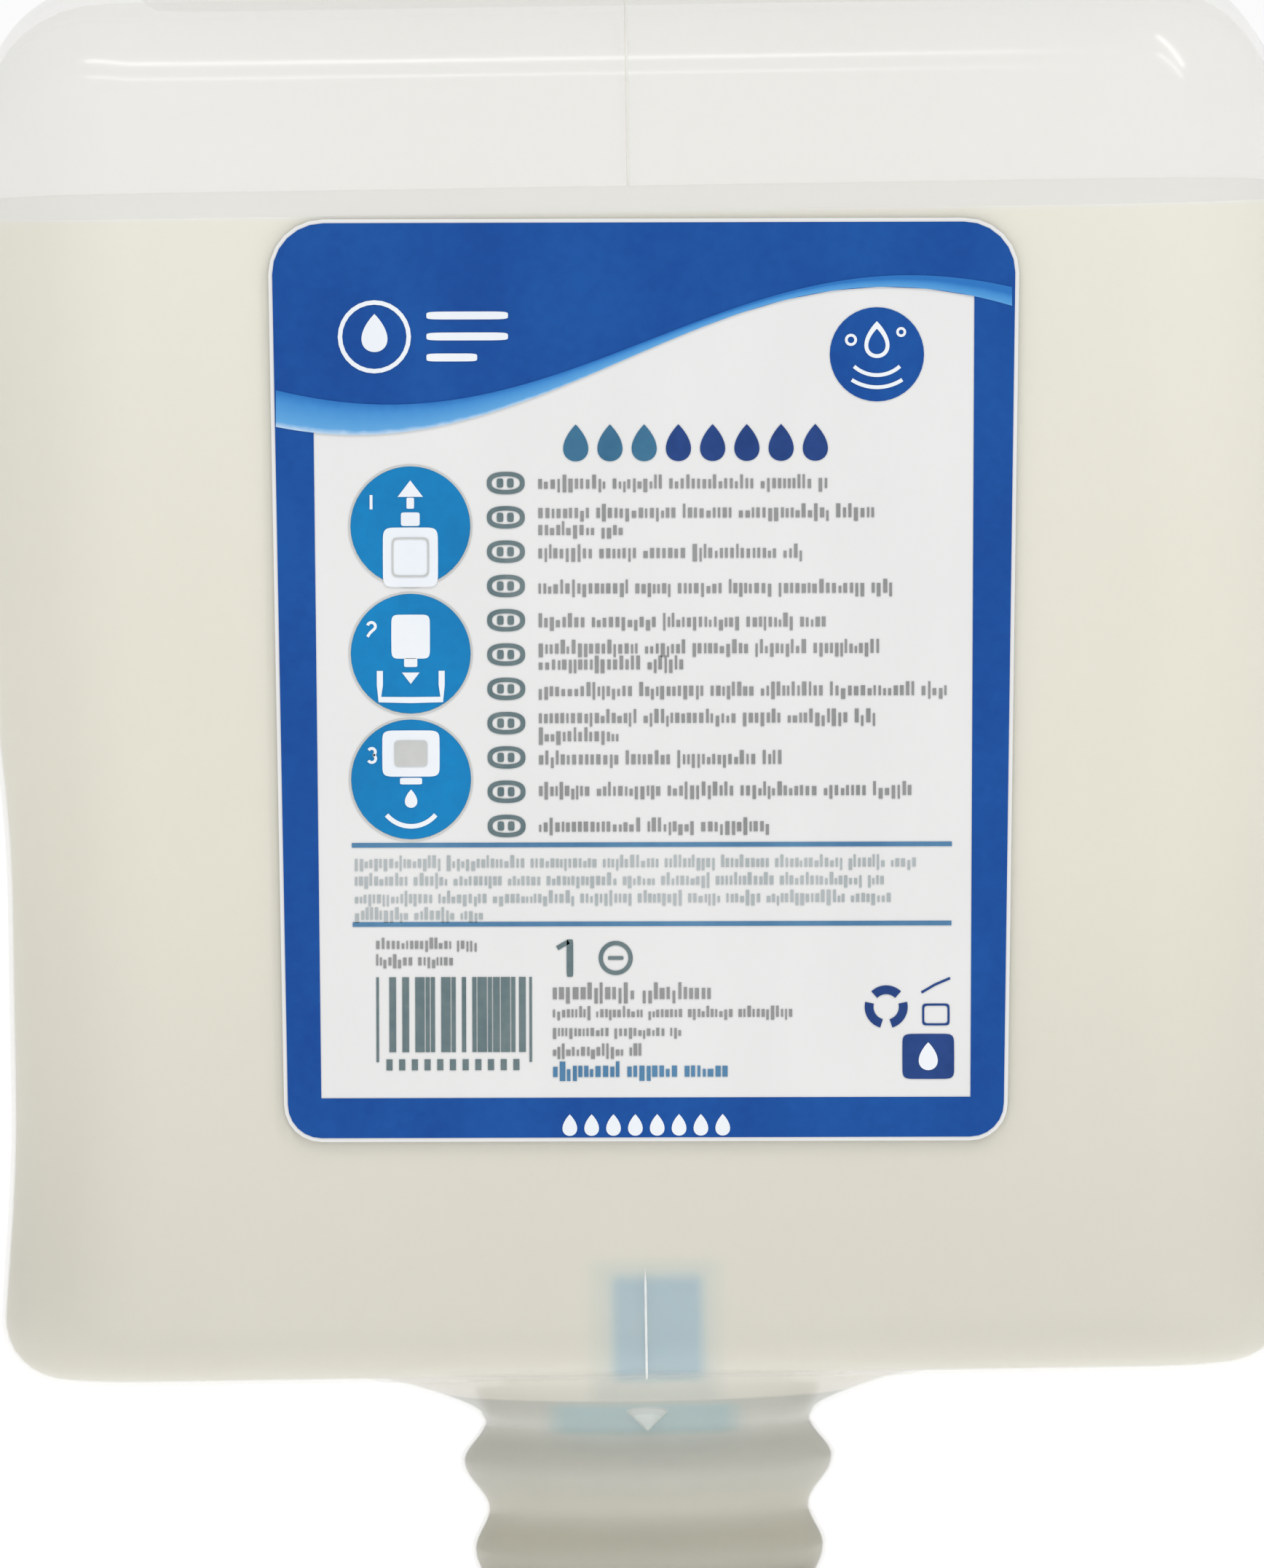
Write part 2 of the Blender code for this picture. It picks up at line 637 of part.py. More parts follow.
def make_collar(material):
    """Retaining collar: it snaps over the neck's bead and guides the stem in its end wall."""
    skirt_top = RIM_Z + COLLAR_SKIRT
    lip_z = RIM_Z + BEAD_ABOVE_RIM + BEAD_WIDTH + FIT_GAP
    profile = (
        (STEM_RADIUS + RUNNING_GAP, COLLAR_Z),
        (SPIGOT_RADIUS - SPIGOT_WALL, COLLAR_Z),
        (SPIGOT_RADIUS - SPIGOT_WALL, COLLAR_Z - SPIGOT_LENGTH),
        (SPIGOT_RADIUS - FIT_GAP, COLLAR_Z - SPIGOT_LENGTH),
        (SPIGOT_RADIUS, COLLAR_Z - SPIGOT_LENGTH + 2 * FIT_GAP),
        (SPIGOT_RADIUS, COLLAR_Z),
        (COLLAR_RADIUS, COLLAR_Z),
        (COLLAR_RADIUS, skirt_top - CAP_CHAMFER),
        (COLLAR_RADIUS - CAP_CHAMFER, skirt_top),
        (COLLAR_BORE, skirt_top),
        (COLLAR_BORE - COLLAR_LIP, lip_z + COLLAR_LIP),
        (COLLAR_BORE - COLLAR_LIP, lip_z),
        (COLLAR_BORE, lip_z),
        (COLLAR_BORE, FLANGE_Z - LAYER_GAP),
        (STEM_RADIUS + RUNNING_GAP, FLANGE_Z - LAYER_GAP),
    )
    return place_object("retaining_collar", revolve(profile, NECK_FACETS), material)


def make_transit_cap(material, parent):
    """Pull-off cap: a plain cup that grips the collar's spigot and carries the standing pack."""
    rim = COLLAR_Z - FIT_GAP
    profile = (
        (0.0, 0.0),
        (COLLAR_RADIUS - CAP_CHAMFER, 0.0),
        (COLLAR_RADIUS, CAP_CHAMFER),
        (COLLAR_RADIUS, rim),
        (CAP_BORE, rim),
        (CAP_BORE, CAP_FLOOR),
        (0.0, CAP_FLOOR),
    )
    return place_object("transit_cap", revolve(profile, NECK_FACETS), material, parent)


def label_point(across, up):
    """Point of the body's front for a point of the label, which is stuck on slightly askew."""
    turn, lean = math.cos(LABEL_TURN), math.sin(LABEL_TURN)
    return (
        LABEL_ACROSS + across * turn + up * lean,
        SHOULDER_Z + LABEL_UP - across * lean + up * turn,
    )


def plate(outline, holes, layer, parent=None):
    """A flat printed field or the label itself: an outline, with holes, on one of the layers."""
    back = FRONT_Y - LAYER_GAP
    if layer:
        back -= LABEL_THICKNESS + LAYER_GAP + (layer - 1) * (PRINT_THICKNESS + LAYER_GAP)
    front = back - (PRINT_THICKNESS if layer else LABEL_THICKNESS)
    loops = [[label_point(*point) for point in loop] for loop in [outline] + holes]
    flat = [[Vector((x, z, 0.0)) for x, z in loop] for loop in loops]
    points = [point for loop in loops for point in loop]
    form = bmesh.new()
    near = [form.verts.new((x, front, z)) for x, z in points]
    far = [form.verts.new((x, back, z)) for x, z in points]
    for triangle in tessellate_polygon(flat):
        form.faces.new([near[index] for index in triangle])
        form.faces.new([far[index] for index in triangle])
    start = 0
    for loop in loops:
        for index in range(len(loop)):
            first, second = start + index, start + (index + 1) % len(loop)
            form.faces.new((near[first], near[second], far[second], far[first]))
        start += len(loop)
    return form


def label_outline(margin):
    """The label's outline, a little wider at its top, with larger corners there."""
    half_height = LABEL_HEIGHT / 2 - margin
    points = []
    corners = (
        (1, 1, LABEL_TOP_WIDTH / 2, LABEL_TOP_RADIUS),
        (-1, 1, LABEL_TOP_WIDTH / 2, LABEL_TOP_RADIUS),
        (-1, -1, LABEL_BOTTOM_WIDTH / 2, LABEL_BOTTOM_RADIUS),
        (1, -1, LABEL_BOTTOM_WIDTH / 2, LABEL_BOTTOM_RADIUS),
    )
    for quadrant, (side, end, half_width, corner_radius) in enumerate(corners):
        radius = corner_radius - margin
        for step in range(7):
            angle = math.radians(90 * (quadrant + step / 6))
            across = side * (half_width - margin - radius) + radius * math.cos(angle)
            up = end * (half_height - radius) + radius * math.sin(angle)
            points.append((across, up))
    return points


def wave(edge, across):
    """Height of one edge of the printed wave: half a cosine swing from its low to its crest."""
    drop, swing, start, run = edge
    return from_top(drop) - swing * math.cos(math.pi * (across - start) / run)


def from_top(drop):
    return LABEL_HEIGHT / 2 - drop


def half_width_at(up, top_inset, bottom_inset):
    """Half width of the label at a height, less an inset that runs between its two ends."""
    share = (up + LABEL_HEIGHT / 2) / LABEL_HEIGHT
    bottom = LABEL_BOTTOM_WIDTH / 2 - bottom_inset
    return bottom + (LABEL_TOP_WIDTH / 2 - top_inset - bottom) * share


def panel_half_width(up):
    """Half width of the bare panel inside the printed frame."""
    return half_width_at(up, FRAME_TOP_SIDE, FRAME_BOTTOM_SIDE)


def steps_across(left, right):
    return [left + (right - left) * step / WAVE_STEPS for step in range(WAVE_STEPS + 1)]


def circle_outline(centre, radius, facets):
    angles = [2 * math.pi * index / facets for index in range(facets)]
    return [(centre[0] + radius * math.cos(a), centre[1] + radius * math.sin(a)) for a in angles]


def box_outline(centre, length, height):
    """Rectangle of a printed bar or field, round its centre."""
    across, up = centre
    left, right = across - length / 2, across + length / 2
    low, high = up - height / 2, up + height / 2
    return [(left, low), (right, low), (right, high), (left, high)]


def disc_drops():
    """Drops of the disc centres, a named gap apart."""
    drops = [DISC_DROP]
    for gap in DISC_GAPS:
        drops.append(drops[-1] + 2 * DISC_RADIUS + gap)
    return drops


def foot_drops():
    """Drops of both rules and of the bar field, which share out the height left under the discs."""
    first = disc_drops()[-1] + DISC_RADIUS + RULE_GAP
    free = LABEL_HEIGHT - first - FRAME_FOOT - BAR_FIELD_HEIGHT
    print_part, above_part, _ = (free * part / sum(FREE_PARTS) for part in FREE_PARTS)
    second = first + print_part
    return [first, second], second + above_part + BAR_FIELD_HEIGHT / 2


def make_label(film, dark_blue, light_blue, mid_blue, rule_blue, slate):
    """Self-adhesive label with its printed fields, each a thin plate of its own colour."""
    place_object("label_sheet", plate(label_outline(0.0), [], 0), film)
    foot = FRAME_FOOT - LABEL_HEIGHT / 2
    sides = panel_half_width(from_top(WAVE_LOW[0]))
    edge = [(across, wave(WAVE_LOW, across)) for across in steps_across(sides, -sides)]
    window = edge + [(-panel_half_width(foot), foot), (panel_half_width(foot), foot)]
    field = plate(label_outline(LABEL_MARGIN), [window], 1)
    place_object("label_blue_field", field, dark_blue)
    half = half_width_at(from_top(WAVE_LOW[0]), 2 * LABEL_MARGIN, 2 * LABEL_MARGIN)
    upper = [(across, wave(WAVE_HIGH, across)) for across in steps_across(half, -half)]
    lower = [(across, wave(WAVE_LOW, across)) for across in steps_across(-half, half)]
    place_object("label_wave_band", plate(upper + lower, [], 2), light_blue)
    disc_across = DISC_INSET - LABEL_TOP_WIDTH / 2
    for index, drop in enumerate(disc_drops()):
        outline = circle_outline((disc_across, from_top(drop)), DISC_RADIUS, NECK_FACETS)
        place_object(f"label_disc_{index + 1}", plate(outline, [], 1), mid_blue)
    centre = (LABEL_TOP_WIDTH / 2 - MARK_INSET, from_top(MARK_DROP))
    outline = circle_outline(centre, MARK_RADIUS, NECK_FACETS)
    place_object("label_bubble_mark", plate(outline, [], 1), dark_blue)
    centre = (EMBLEM_INSET - LABEL_TOP_WIDTH / 2, from_top(EMBLEM_DROP))
    outline = circle_outline(centre, EMBLEM_RADIUS, PUMP_FACETS)
    bore = circle_outline(centre, EMBLEM_BORE, PUMP_FACETS)
    place_object("label_emblem_ring", plate(outline, [bore], 2), film)
    centre = (HEADING_ACROSS, from_top(HEADING_DROP))
    outline = box_outline(centre, HEADING_LENGTH, HEADING_HEIGHT)
    place_object("label_heading_bar", plate(outline, [], 1), dark_blue)
    rule_drops, bar_field_drop = foot_drops()
    for index, drop in enumerate(rule_drops):
        half = panel_half_width(from_top(drop))
        length = 2 * half - RULE_LEFT_INSET - RULE_RIGHT_INSET
        centre = ((RULE_LEFT_INSET - RULE_RIGHT_INSET) / 2, from_top(drop))
        outline = box_outline(centre, length, RULE_THICKNESS)
        place_object(f"label_rule_{index + 1}", plate(outline, [], 1), rule_blue)
    centre = (BAR_FIELD_INSET - LABEL_TOP_WIDTH / 2, from_top(bar_field_drop))
    outline = box_outline(centre, BAR_FIELD_LENGTH, BAR_FIELD_HEIGHT)
    place_object("label_bar_field", plate(outline, [], 1), slate)


def empty_on_axis(name):
    """Parent of a body that slides along the neck's axis."""
    item = bpy.data.objects.new(name, None)
    bpy.context.scene.collection.objects.link(item)
    return item


def main():
    clear_scene()
    natural = finish_material("natural_polyethylene", (0.78, 0.77, 0.72), 0.35)
    soap = finish_material("pale_yellow_soap", (0.75, 0.70, 0.56), 0.30)
    blue_plastic = finish_material("blue_pump_plastic", (0.13, 0.32, 0.62), 0.40)
    pale_plastic = finish_material("pale_pump_plastic", (0.80, 0.80, 0.78), 0.40)
    rubber = finish_material("valve_rubber", (0.72, 0.72, 0.70), 0.60)
    cap_plastic = finish_material("cap_plastic", (0.76, 0.77, 0.78), 0.35)
    film = finish_material("label_film", (0.81, 0.79, 0.78), 0.45)
    dark_blue = finish_material("label_dark_blue", (0.012, 0.075, 0.34), 0.45)
    light_blue = finish_material("label_light_blue", (0.05, 0.26, 0.62), 0.45)
    mid_blue = finish_material("label_mid_blue", (0.008, 0.20, 0.48), 0.45)
    rule_blue = finish_material("label_rule_blue", (0.07, 0.19, 0.33), 0.45)
    slate = finish_material("label_slate", (0.16, 0.22, 0.23), 0.45)

    make_bottle(natural)
    make_soap(soap)
    make_label(film, dark_blue, light_blue, mid_blue, rule_blue, slate)
    make_inlet_fitting(blue_plastic)
    make_inlet_valve(rubber)
    make_chamber(pale_plastic)
    make_gasket(rubber)
    make_collar(pale_plastic)
    piston_slide = empty_on_axis("piston_slide")
    make_piston(pale_plastic, piston_slide)
    make_outlet_valve(rubber, piston_slide)
    cap_slide = empty_on_axis("cap_slide")
    make_transit_cap(cap_plastic, cap_slide)


main()
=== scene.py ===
import math

import bpy
import numpy as np
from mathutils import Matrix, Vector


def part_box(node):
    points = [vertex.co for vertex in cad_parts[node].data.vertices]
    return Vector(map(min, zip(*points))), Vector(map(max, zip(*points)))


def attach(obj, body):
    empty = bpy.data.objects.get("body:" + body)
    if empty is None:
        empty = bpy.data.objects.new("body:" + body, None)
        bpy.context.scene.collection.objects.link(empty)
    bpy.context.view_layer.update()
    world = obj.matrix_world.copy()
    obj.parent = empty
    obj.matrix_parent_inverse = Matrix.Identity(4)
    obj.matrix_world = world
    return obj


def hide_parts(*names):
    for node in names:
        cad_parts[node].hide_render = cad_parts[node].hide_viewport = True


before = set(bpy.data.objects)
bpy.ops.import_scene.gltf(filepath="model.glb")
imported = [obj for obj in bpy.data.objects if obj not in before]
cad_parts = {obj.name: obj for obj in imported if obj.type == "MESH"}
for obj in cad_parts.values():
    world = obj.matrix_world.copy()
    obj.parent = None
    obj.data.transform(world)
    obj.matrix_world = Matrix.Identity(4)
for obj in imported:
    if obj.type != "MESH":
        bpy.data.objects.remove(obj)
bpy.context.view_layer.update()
MM = 0.001

# Bottle: one blow-moulded shell of natural polyethylene, milky and a little see-through. It
# stands neck down, its recessed base on top, with a shallow waist and a hollow curve to the neck.
# The wall is drawn at its thinnest, because wet plastic shows the soap right up to its outside.
BODY_WIDTH = 118.0 * MM
BODY_DEPTH = 84.0 * MM
WALL = 0.35 * MM
PLAN_RADIUS = 14.0 * MM
BASE_RADIUS = 11.2 * MM
SHOULDER_RADIUS = 6.3 * MM
BASE_RING = 3.0 * MM
BASE_RECESS = 1.5 * MM
BASE_RECESS_SLOPE = 2.0 * MM
BASE_RECESS_RADIUS = 7.0 * MM
WAIST_DEPTH = 1.8 * MM
WAIST_TOP = 74.0 * MM
WAIST_HIGH = 46.0 * MM
WAIST_LOW = 27.0 * MM
WAIST_END = -4.0 * MM
NECK_LENGTH = 25.0 * MM
SHOULDER_LIFT = 1.6 * MM
PEDESTAL = MM * np.array([
    (30.0, 1.6), (28.4, 1.35), (27.2, 0.7), (25.6, 0.1), (21.8, -0.9),
    (19.1, -1.8), (17.4, -2.45), (16.2, -3.0), (15.5, -3.5),
])
RING_STATIONS = MM * np.array([(4.1, 15.2), (7.8, 17.2), (12.1, 15.0), (15.9, 16.3), (19.9, 15.0)])
LAND_RADIUS = 15.6 * MM
LAND_DROP = 20.6 * MM
RIM_CHAMFER = 0.4 * MM
BEAD_RADIUS = 16.3 * MM
BEAD_ABOVE_RIM = 1.4 * MM
BEAD_WIDTH = 1.7 * MM
CORNER_POINTS = 20
SIDE_POINTS = 8
RIM_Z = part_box("bottle")[0].z
SHOULDER_Z = RIM_Z + NECK_LENGTH
FLOOR_Z = SHOULDER_Z + SHOULDER_LIFT
BASE_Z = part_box("bottle")[1].z
FRONT_Y = -BODY_DEPTH / 2


def put_mesh(name, points, faces, material, angle=35):
    """A new smooth-shaded piece from arrays of points and faces."""
    mesh = bpy.data.meshes.new(name)
    mesh.from_pydata(np.asarray(points).reshape(-1, 3).tolist(), [], faces)
    mesh.validate()
    mesh.update()
    mesh.shade_smooth()
    mesh.set_sharp_from_angle(angle=math.radians(angle))
    mesh.materials.append(material)
    piece = bpy.data.objects.new(name, mesh)
    bpy.context.scene.collection.objects.link(piece)
    return piece


def put_surface(name, rings, material, angle=35):
    """Skin rings (count, points, 3) into a closed form, with a pole in the middle of each end.

    Quad (i, j) joins points j and j+1 of ring i to the same two of ring i+1.
    """
    rings = np.asarray(rings)
    count, around, _ = rings.shape
    first = np.arange(count - 1)[:, None] * around + np.arange(around)[None, :]
    second = np.arange(count - 1)[:, None] * around + (np.arange(around) + 1)[None, :] % around
    quads = np.stack([first, second, second + around, first + around], axis=-1).reshape(-1, 4)
    points = np.concatenate([rings.reshape(-1, 3), [rings[0].mean(0), rings[-1].mean(0)]])
    turn = np.arange(around)
    after = (turn + 1) % around
    last = (count - 1) * around
    start_fan = np.stack([after, turn, np.full(around, count * around)], axis=-1)
    end_fan = np.stack([last + turn, last + after, np.full(around, count * around + 1)], axis=-1)
    faces = quads.tolist() + start_fan.tolist() + end_fan.tolist()
    piece = put_mesh(name, points, faces, material, angle)
    face_outwards(piece)
    return piece


def face_outwards(piece):
    """Turn the faces of a closed form outwards, by the sign of the volume they enclose."""
    mesh = piece.data
    mesh.calc_loop_triangles()
    corners = np.zeros(len(mesh.loop_triangles) * 3, dtype=np.int32)
    mesh.loop_triangles.foreach_get("vertices", corners)
    places = np.zeros(len(mesh.vertices) * 3)
    mesh.vertices.foreach_get("co", places)
    triangles = places.reshape(-1, 3)[corners.reshape(-1, 3)]
    volume = np.einsum("ij,ij->", triangles[:, 0], np.cross(triangles[:, 1], triangles[:, 2]))
    if volume < 0:
        mesh.flip_normals()


def rounded_ring(half_width, half_depth, radius, height):
    """Rounded rectangle: arcs x = centre + r cos a, y = centre + r sin a, and straight sides."""
    ring = []
    signs = ((1, 1), (-1, 1), (-1, -1), (1, -1))
    share = np.linspace(0.0, 1.0, CORNER_POINTS + 1)
    arcs = []
    for quadrant, (side_x, side_y) in enumerate(signs):
        angle = (quadrant + share) * math.pi / 2
        across = side_x * (half_width - radius) + radius * np.cos(angle)
        along = side_y * (half_depth - radius) + radius * np.sin(angle)
        arcs.append(np.stack([across, along, np.full_like(across, height)], axis=-1))
    between = np.linspace(0.0, 1.0, SIDE_POINTS + 1)[1:-1, None]
    for arc, following in zip(arcs, arcs[1:] + arcs[:1]):
        ring += [arc, arc[-1] + (following[0] - arc[-1]) * between]
    return np.concatenate(ring)


def round_ring(radius, height):
    """Circle with as many points as a rounded ring, each quadrant centred on its diagonal."""
    count = CORNER_POINTS + SIDE_POINTS
    index = np.arange(4 * count)
    steps = index % count - CORNER_POINTS / 2
    angle = (index // count) * math.pi / 2 + math.pi / 4 + steps * math.pi / 2 / count
    flat = [radius * np.cos(angle), radius * np.sin(angle), np.full(len(index), height)]
    return np.stack(flat, axis=-1)


def ease(share):
    """Smooth step 3 s^2 - 2 s^3, of a share held between 0 and 1."""
    share = min(max(share, 0.0), 1.0)
    return share * share * (3 - 2 * share)


def side_half_width(height):
    """Half width of the body: full at both ends, eased in to the waist between them."""
    above = height - SHOULDER_Z
    if above > WAIST_HIGH:
        drawn = ease((WAIST_TOP - above) / (WAIST_TOP - WAIST_HIGH))
    else:
        drawn = ease((above - WAIST_END) / (WAIST_LOW - WAIST_END))
    return BODY_WIDTH / 2 - WAIST_DEPTH * drawn


def body_ring(height, inset):
    """The body's rounded rectangle at a height, inset evenly from its outside."""
    half_width = side_half_width(height) - inset
    return rounded_ring(half_width, BODY_DEPTH / 2 - inset, max(PLAN_RADIUS - inset, MM), height)


def quarter(count):
    """Sine and one-minus-cosine of a quarter turn, from its crown down to its side."""
    angle = np.radians(90 * (1 - np.arange(count + 1) / count))
    return list(zip(np.sin(angle), 1 - np.cos(angle)))


def ring_profile(offset):
    """(radius, height) down the neck's rings, offset inwards: a half cosine between stations."""
    profile = []
    for (drop, radius), (next_drop, next_radius) in zip(RING_STATIONS, RING_STATIONS[1:]):
        for share in np.linspace(0.0, 1.0, 10)[:-1]:
            swing = (1 - math.cos(math.pi * share)) / 2
            height = SHOULDER_Z - drop - (next_drop - drop) * share
            profile.append((radius + (next_radius - radius) * swing - offset, height))
    profile.append((RING_STATIONS[-1][1] - offset, SHOULDER_Z - RING_STATIONS[-1][0]))
    return profile


def pedestal_profile(offset):
    """(radius, height) of the hollow curve from the body's floor to the neck, offset inwards.

    Each point moves along the curve's own normal, which turns from upright to level.
    """
    along = np.gradient(PEDESTAL, axis=0)
    along /= np.linalg.norm(along, axis=1)[:, None]
    inward = np.stack([along[:, 1], -along[:, 0]], axis=-1)
    moved = PEDESTAL + inward * offset
    return [(radius, SHOULDER_Z + height) for radius, height in moved]


def neck_profile():
    """(radius, height) of the neck: the pedestal, the rings, and the closure's land."""
    bead_low = RIM_Z + BEAD_ABOVE_RIM
    slope = BEAD_RADIUS - LAND_RADIUS
    land = [
        (LAND_RADIUS, SHOULDER_Z - LAND_DROP),
        (LAND_RADIUS, bead_low + BEAD_WIDTH),
        (BEAD_RADIUS, bead_low + BEAD_WIDTH - slope),
        (BEAD_RADIUS, bead_low + slope / 2),
        (LAND_RADIUS, bead_low),
        (LAND_RADIUS, RIM_Z + RIM_CHAMFER),
        (LAND_RADIUS - RIM_CHAMFER, RIM_Z),
    ]
    return pedestal_profile(0.0) + ring_profile(0.0) + land


def outer_rings():
    """Outside of the bottle, from the recess of its base down to its rim."""
    flat = BASE_RADIUS + BASE_RING
    rings = []
    for inset, height in (
        (flat + BASE_RECESS_SLOPE + 0.6 * MM, BASE_Z - BASE_RECESS),
        (flat + BASE_RECESS_SLOPE, BASE_Z - BASE_RECESS + 0.15 * MM),
        (flat + 0.5 * MM, BASE_Z - 0.15 * MM),
        (flat, BASE_Z),
    ):
        sides = (BODY_WIDTH / 2 - inset, BODY_DEPTH / 2 - inset)
        rings.append(rounded_ring(*sides, BASE_RECESS_RADIUS, height))
    for rise, inset in quarter(16):
        rings.append(body_ring(BASE_Z - BASE_RADIUS + BASE_RADIUS * rise, BASE_RADIUS * inset))
    high, low = BASE_Z - BASE_RADIUS, FLOOR_Z + SHOULDER_RADIUS
    for height in np.linspace(high, low, 36)[1:]:
        rings.append(body_ring(height, 0.0))
    for rise, inset in reversed(quarter(12)[:-1]):
        height = FLOOR_Z + SHOULDER_RADIUS - SHOULDER_RADIUS * rise
        rings.append(body_ring(height, SHOULDER_RADIUS * inset))
    return rings + [round_ring(radius, height) for radius, height in neck_profile()]


def cavity_rings(gap, mouth_z, top_z=None):
    """Inside of the bottle, gap away from its wall, from the mouth up to top_z or its ceiling."""
    inset = WALL + gap
    shoulder = SHOULDER_RADIUS - inset
    neck = [(LAND_RADIUS - RIM_CHAMFER - inset, mouth_z)] + ring_profile(inset)[::-1]
    neck += pedestal_profile(inset)[::-1]
    rings = [round_ring(radius, height) for radius, height in neck]
    for rise, drawn in quarter(8):
        height = FLOOR_Z + SHOULDER_RADIUS - shoulder * rise
        rings.append(body_ring(height, inset + shoulder * drawn))
    low = FLOOR_Z + SHOULDER_RADIUS
    high = BASE_Z - BASE_RADIUS if top_z is None else top_z
    for height in np.linspace(low, high, 24)[1:]:
        rings.append(body_ring(height, inset))
    if top_z is None:
        crown = BASE_RADIUS - inset
        for rise, drawn in reversed(quarter(8)[:-1]):
            height = BASE_Z - BASE_RADIUS + (crown - BASE_RECESS) * rise
            rings.append(body_ring(height, inset + crown * drawn))
    return rings


def new_tree(name):
    """An empty material with its output node."""
    material = bpy.data.materials.new(name)
    material.use_nodes = True
    tree = material.node_tree
    tree.nodes.clear()
    return material, tree, tree.nodes.new("ShaderNodeOutputMaterial")


def add_node(tree, kind, settings=None, **inputs):
    """A node with its settings, and inputs given as values or as the sockets that feed them.

    An input is named as on the node, or i0, i1 and so on by its number.
    """
    node = tree.nodes.new("ShaderNode" + kind)
    for key, value in (settings or {}).items():
        setattr(node, key, value)
    for key, value in inputs.items():
        by_number = key[0] == "i" and key[1:].isdigit()
        socket = node.inputs[int(key[1:]) if by_number else key]
        if hasattr(value, "links"):
            tree.links.new(value, socket)
        else:
            socket.default_value = value
    return node


def mottle(tree, scale, detail=3.0, stretch=(1.0, 1.0, 1.0)):
    """Noise from 0 to 1 on the piece's own coordinates, stretched along its axes."""
    place = add_node(tree, "TexCoord").outputs["Object"]
    mapping = add_node(tree, "Mapping", Vector=place, Scale=stretch)
    noise = add_node(tree, "TexNoise", Vector=mapping.outputs[0], Scale=scale, Detail=detail)
    return noise.outputs["Fac"]


def ramp(tree, factor, stops):
    """Colour ramp over (position, colour) stops."""
    node = add_node(tree, "ValToRGB", Fac=factor)
    band = node.color_ramp
    while len(band.elements) < len(stops):
        band.elements.new(0.5)
    for element, (position, colour) in zip(band.elements, stops):
        element.position = position
        element.color = (*colour, 1.0)
    return node.outputs["Color"]


def spread(tree, value, low, high, start=0.0, end=1.0, curve="LINEAR"):
    """Map start..end to low..high, held at both ends."""
    reach = {"From Min": start, "From Max": end, "To Min": low, "To Max": high}
    node = add_node(tree, "MapRange", {"interpolation_type": curve}, Value=value, **reach)
    return node.outputs[0]


def relief(tree, height, depth, strength, **under):
    """Bump of a depth in metres, which may lie over another bump."""
    node = add_node(tree, "Bump", Height=height, Distance=depth, Strength=strength, **under)
    return node.outputs[0]


def gloss(tree, colour, rough, **more):
    """Glossy surface of a colour and a roughness; more inputs go by the node's own names."""
    inputs = {"Base Color": colour, "Roughness": rough, **more}
    return add_node(tree, "BsdfPrincipled", **inputs).outputs[0]


WALL_COLOUR = (0.83, 0.82, 0.775)
WALL_PALE = (0.85, 0.84, 0.80)
WALL_COVER = 0.26


def bottle_wall_material():
    """Milky blown polyethylene: satin, mottled, with faint draw lines, and partly see-through."""
    material, tree, output = new_tree("natural polyethylene wall")
    cloud = mottle(tree, 45.0, 4.0, (1.0, 1.0, 0.45))
    grain = mottle(tree, 900.0, 2.0)
    draw = mottle(tree, 160.0, 2.0, (1.0, 1.0, 0.06))
    colour = ramp(tree, cloud, ((0.25, WALL_COLOUR), (0.75, WALL_PALE)))
    rough = spread(tree, cloud, 0.10, 0.17)
    lines = relief(tree, draw, 0.05 * MM, 0.25)
    skin = relief(tree, grain, 0.012 * MM, 0.08, Normal=lines)
    milky = gloss(tree, colour, rough, Normal=skin, IOR=1.5)
    clear = add_node(tree, "BsdfTransparent", Color=(1.0, 1.0, 1.0, 1.0)).outputs[0]
    mix = add_node(tree, "MixShader", Fac=WALL_COVER, i1=clear, i2=milky)
    tree.links.new(mix.outputs[0], output.inputs["Surface"])
    return material


bottle = put_surface(
    "bottle_shell", outer_rings() + cavity_rings(0.0, RIM_Z), bottle_wall_material(), angle=50
)
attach(bottle, "pack")
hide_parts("bottle")

# Soap: a cloudy pale yellow liquid that fills the bottle to its level and stands round the
# pump in the neck. The pump's blue inlet shows through it as a soft stain close to the wall.
SOAP_GAP = 0.12 * MM
PUMP_GAP = 0.3 * MM
CHAMBER_RADIUS = 7.9 * MM
TUBE_RADIUS = 4.15 * MM
TUBE_BORE = 3.1 * MM
PLATE_DROP = 2.8 * MM
BORE_FLOOR = 0.5 * MM
SOAP_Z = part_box("soap_fill")[1].z
INLET_LOW, INLET_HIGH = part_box("inlet_fitting")
# Soap colour up from the shoulder to the level, with painted shade: darker and warmer low down and
# lighter towards the level, as light falls from above. The very floor has a lighter band, painted
# against the shade on its downward face.
SOAP_TONE_AND_SHADE = (
    (0.025, (0.85, 0.82, 0.73)),
    (0.045, (0.665, 0.638, 0.52)),
    (0.46, (0.83, 0.80, 0.655)),
    (0.996, (0.90, 0.885, 0.755)),
    (1.0, (0.95, 0.95, 0.93)),
)
# Soap in the neck, from its rim up to the shoulder, with painted shade: darker than the body's
# soap, as the neck lies in shade under the body. It is banded lighter and darker down the rings and
# under the shoulder, to offset how they take light.
NECK_TONE_AND_SHADE = (
    (0.0, (0.36, 0.35, 0.20)),
    (0.36, (0.40, 0.385, 0.24)),
    (0.42, (0.50, 0.48, 0.32)),
    (0.484, (0.57, 0.555, 0.42)),
    (0.548, (0.56, 0.55, 0.41)),
    (0.612, (0.46, 0.455, 0.36)),
    (0.676, (0.43, 0.43, 0.36)),
    (0.74, (0.70, 0.71, 0.65)),
    (0.80, (0.81, 0.83, 0.78)),
    (0.85, (0.75, 0.77, 0.72)),
    (0.90, (0.56, 0.58, 0.53)),
    (0.95, (0.44, 0.455, 0.415)),
)
SOAP_HAZE = (0.74, 0.72, 0.62)
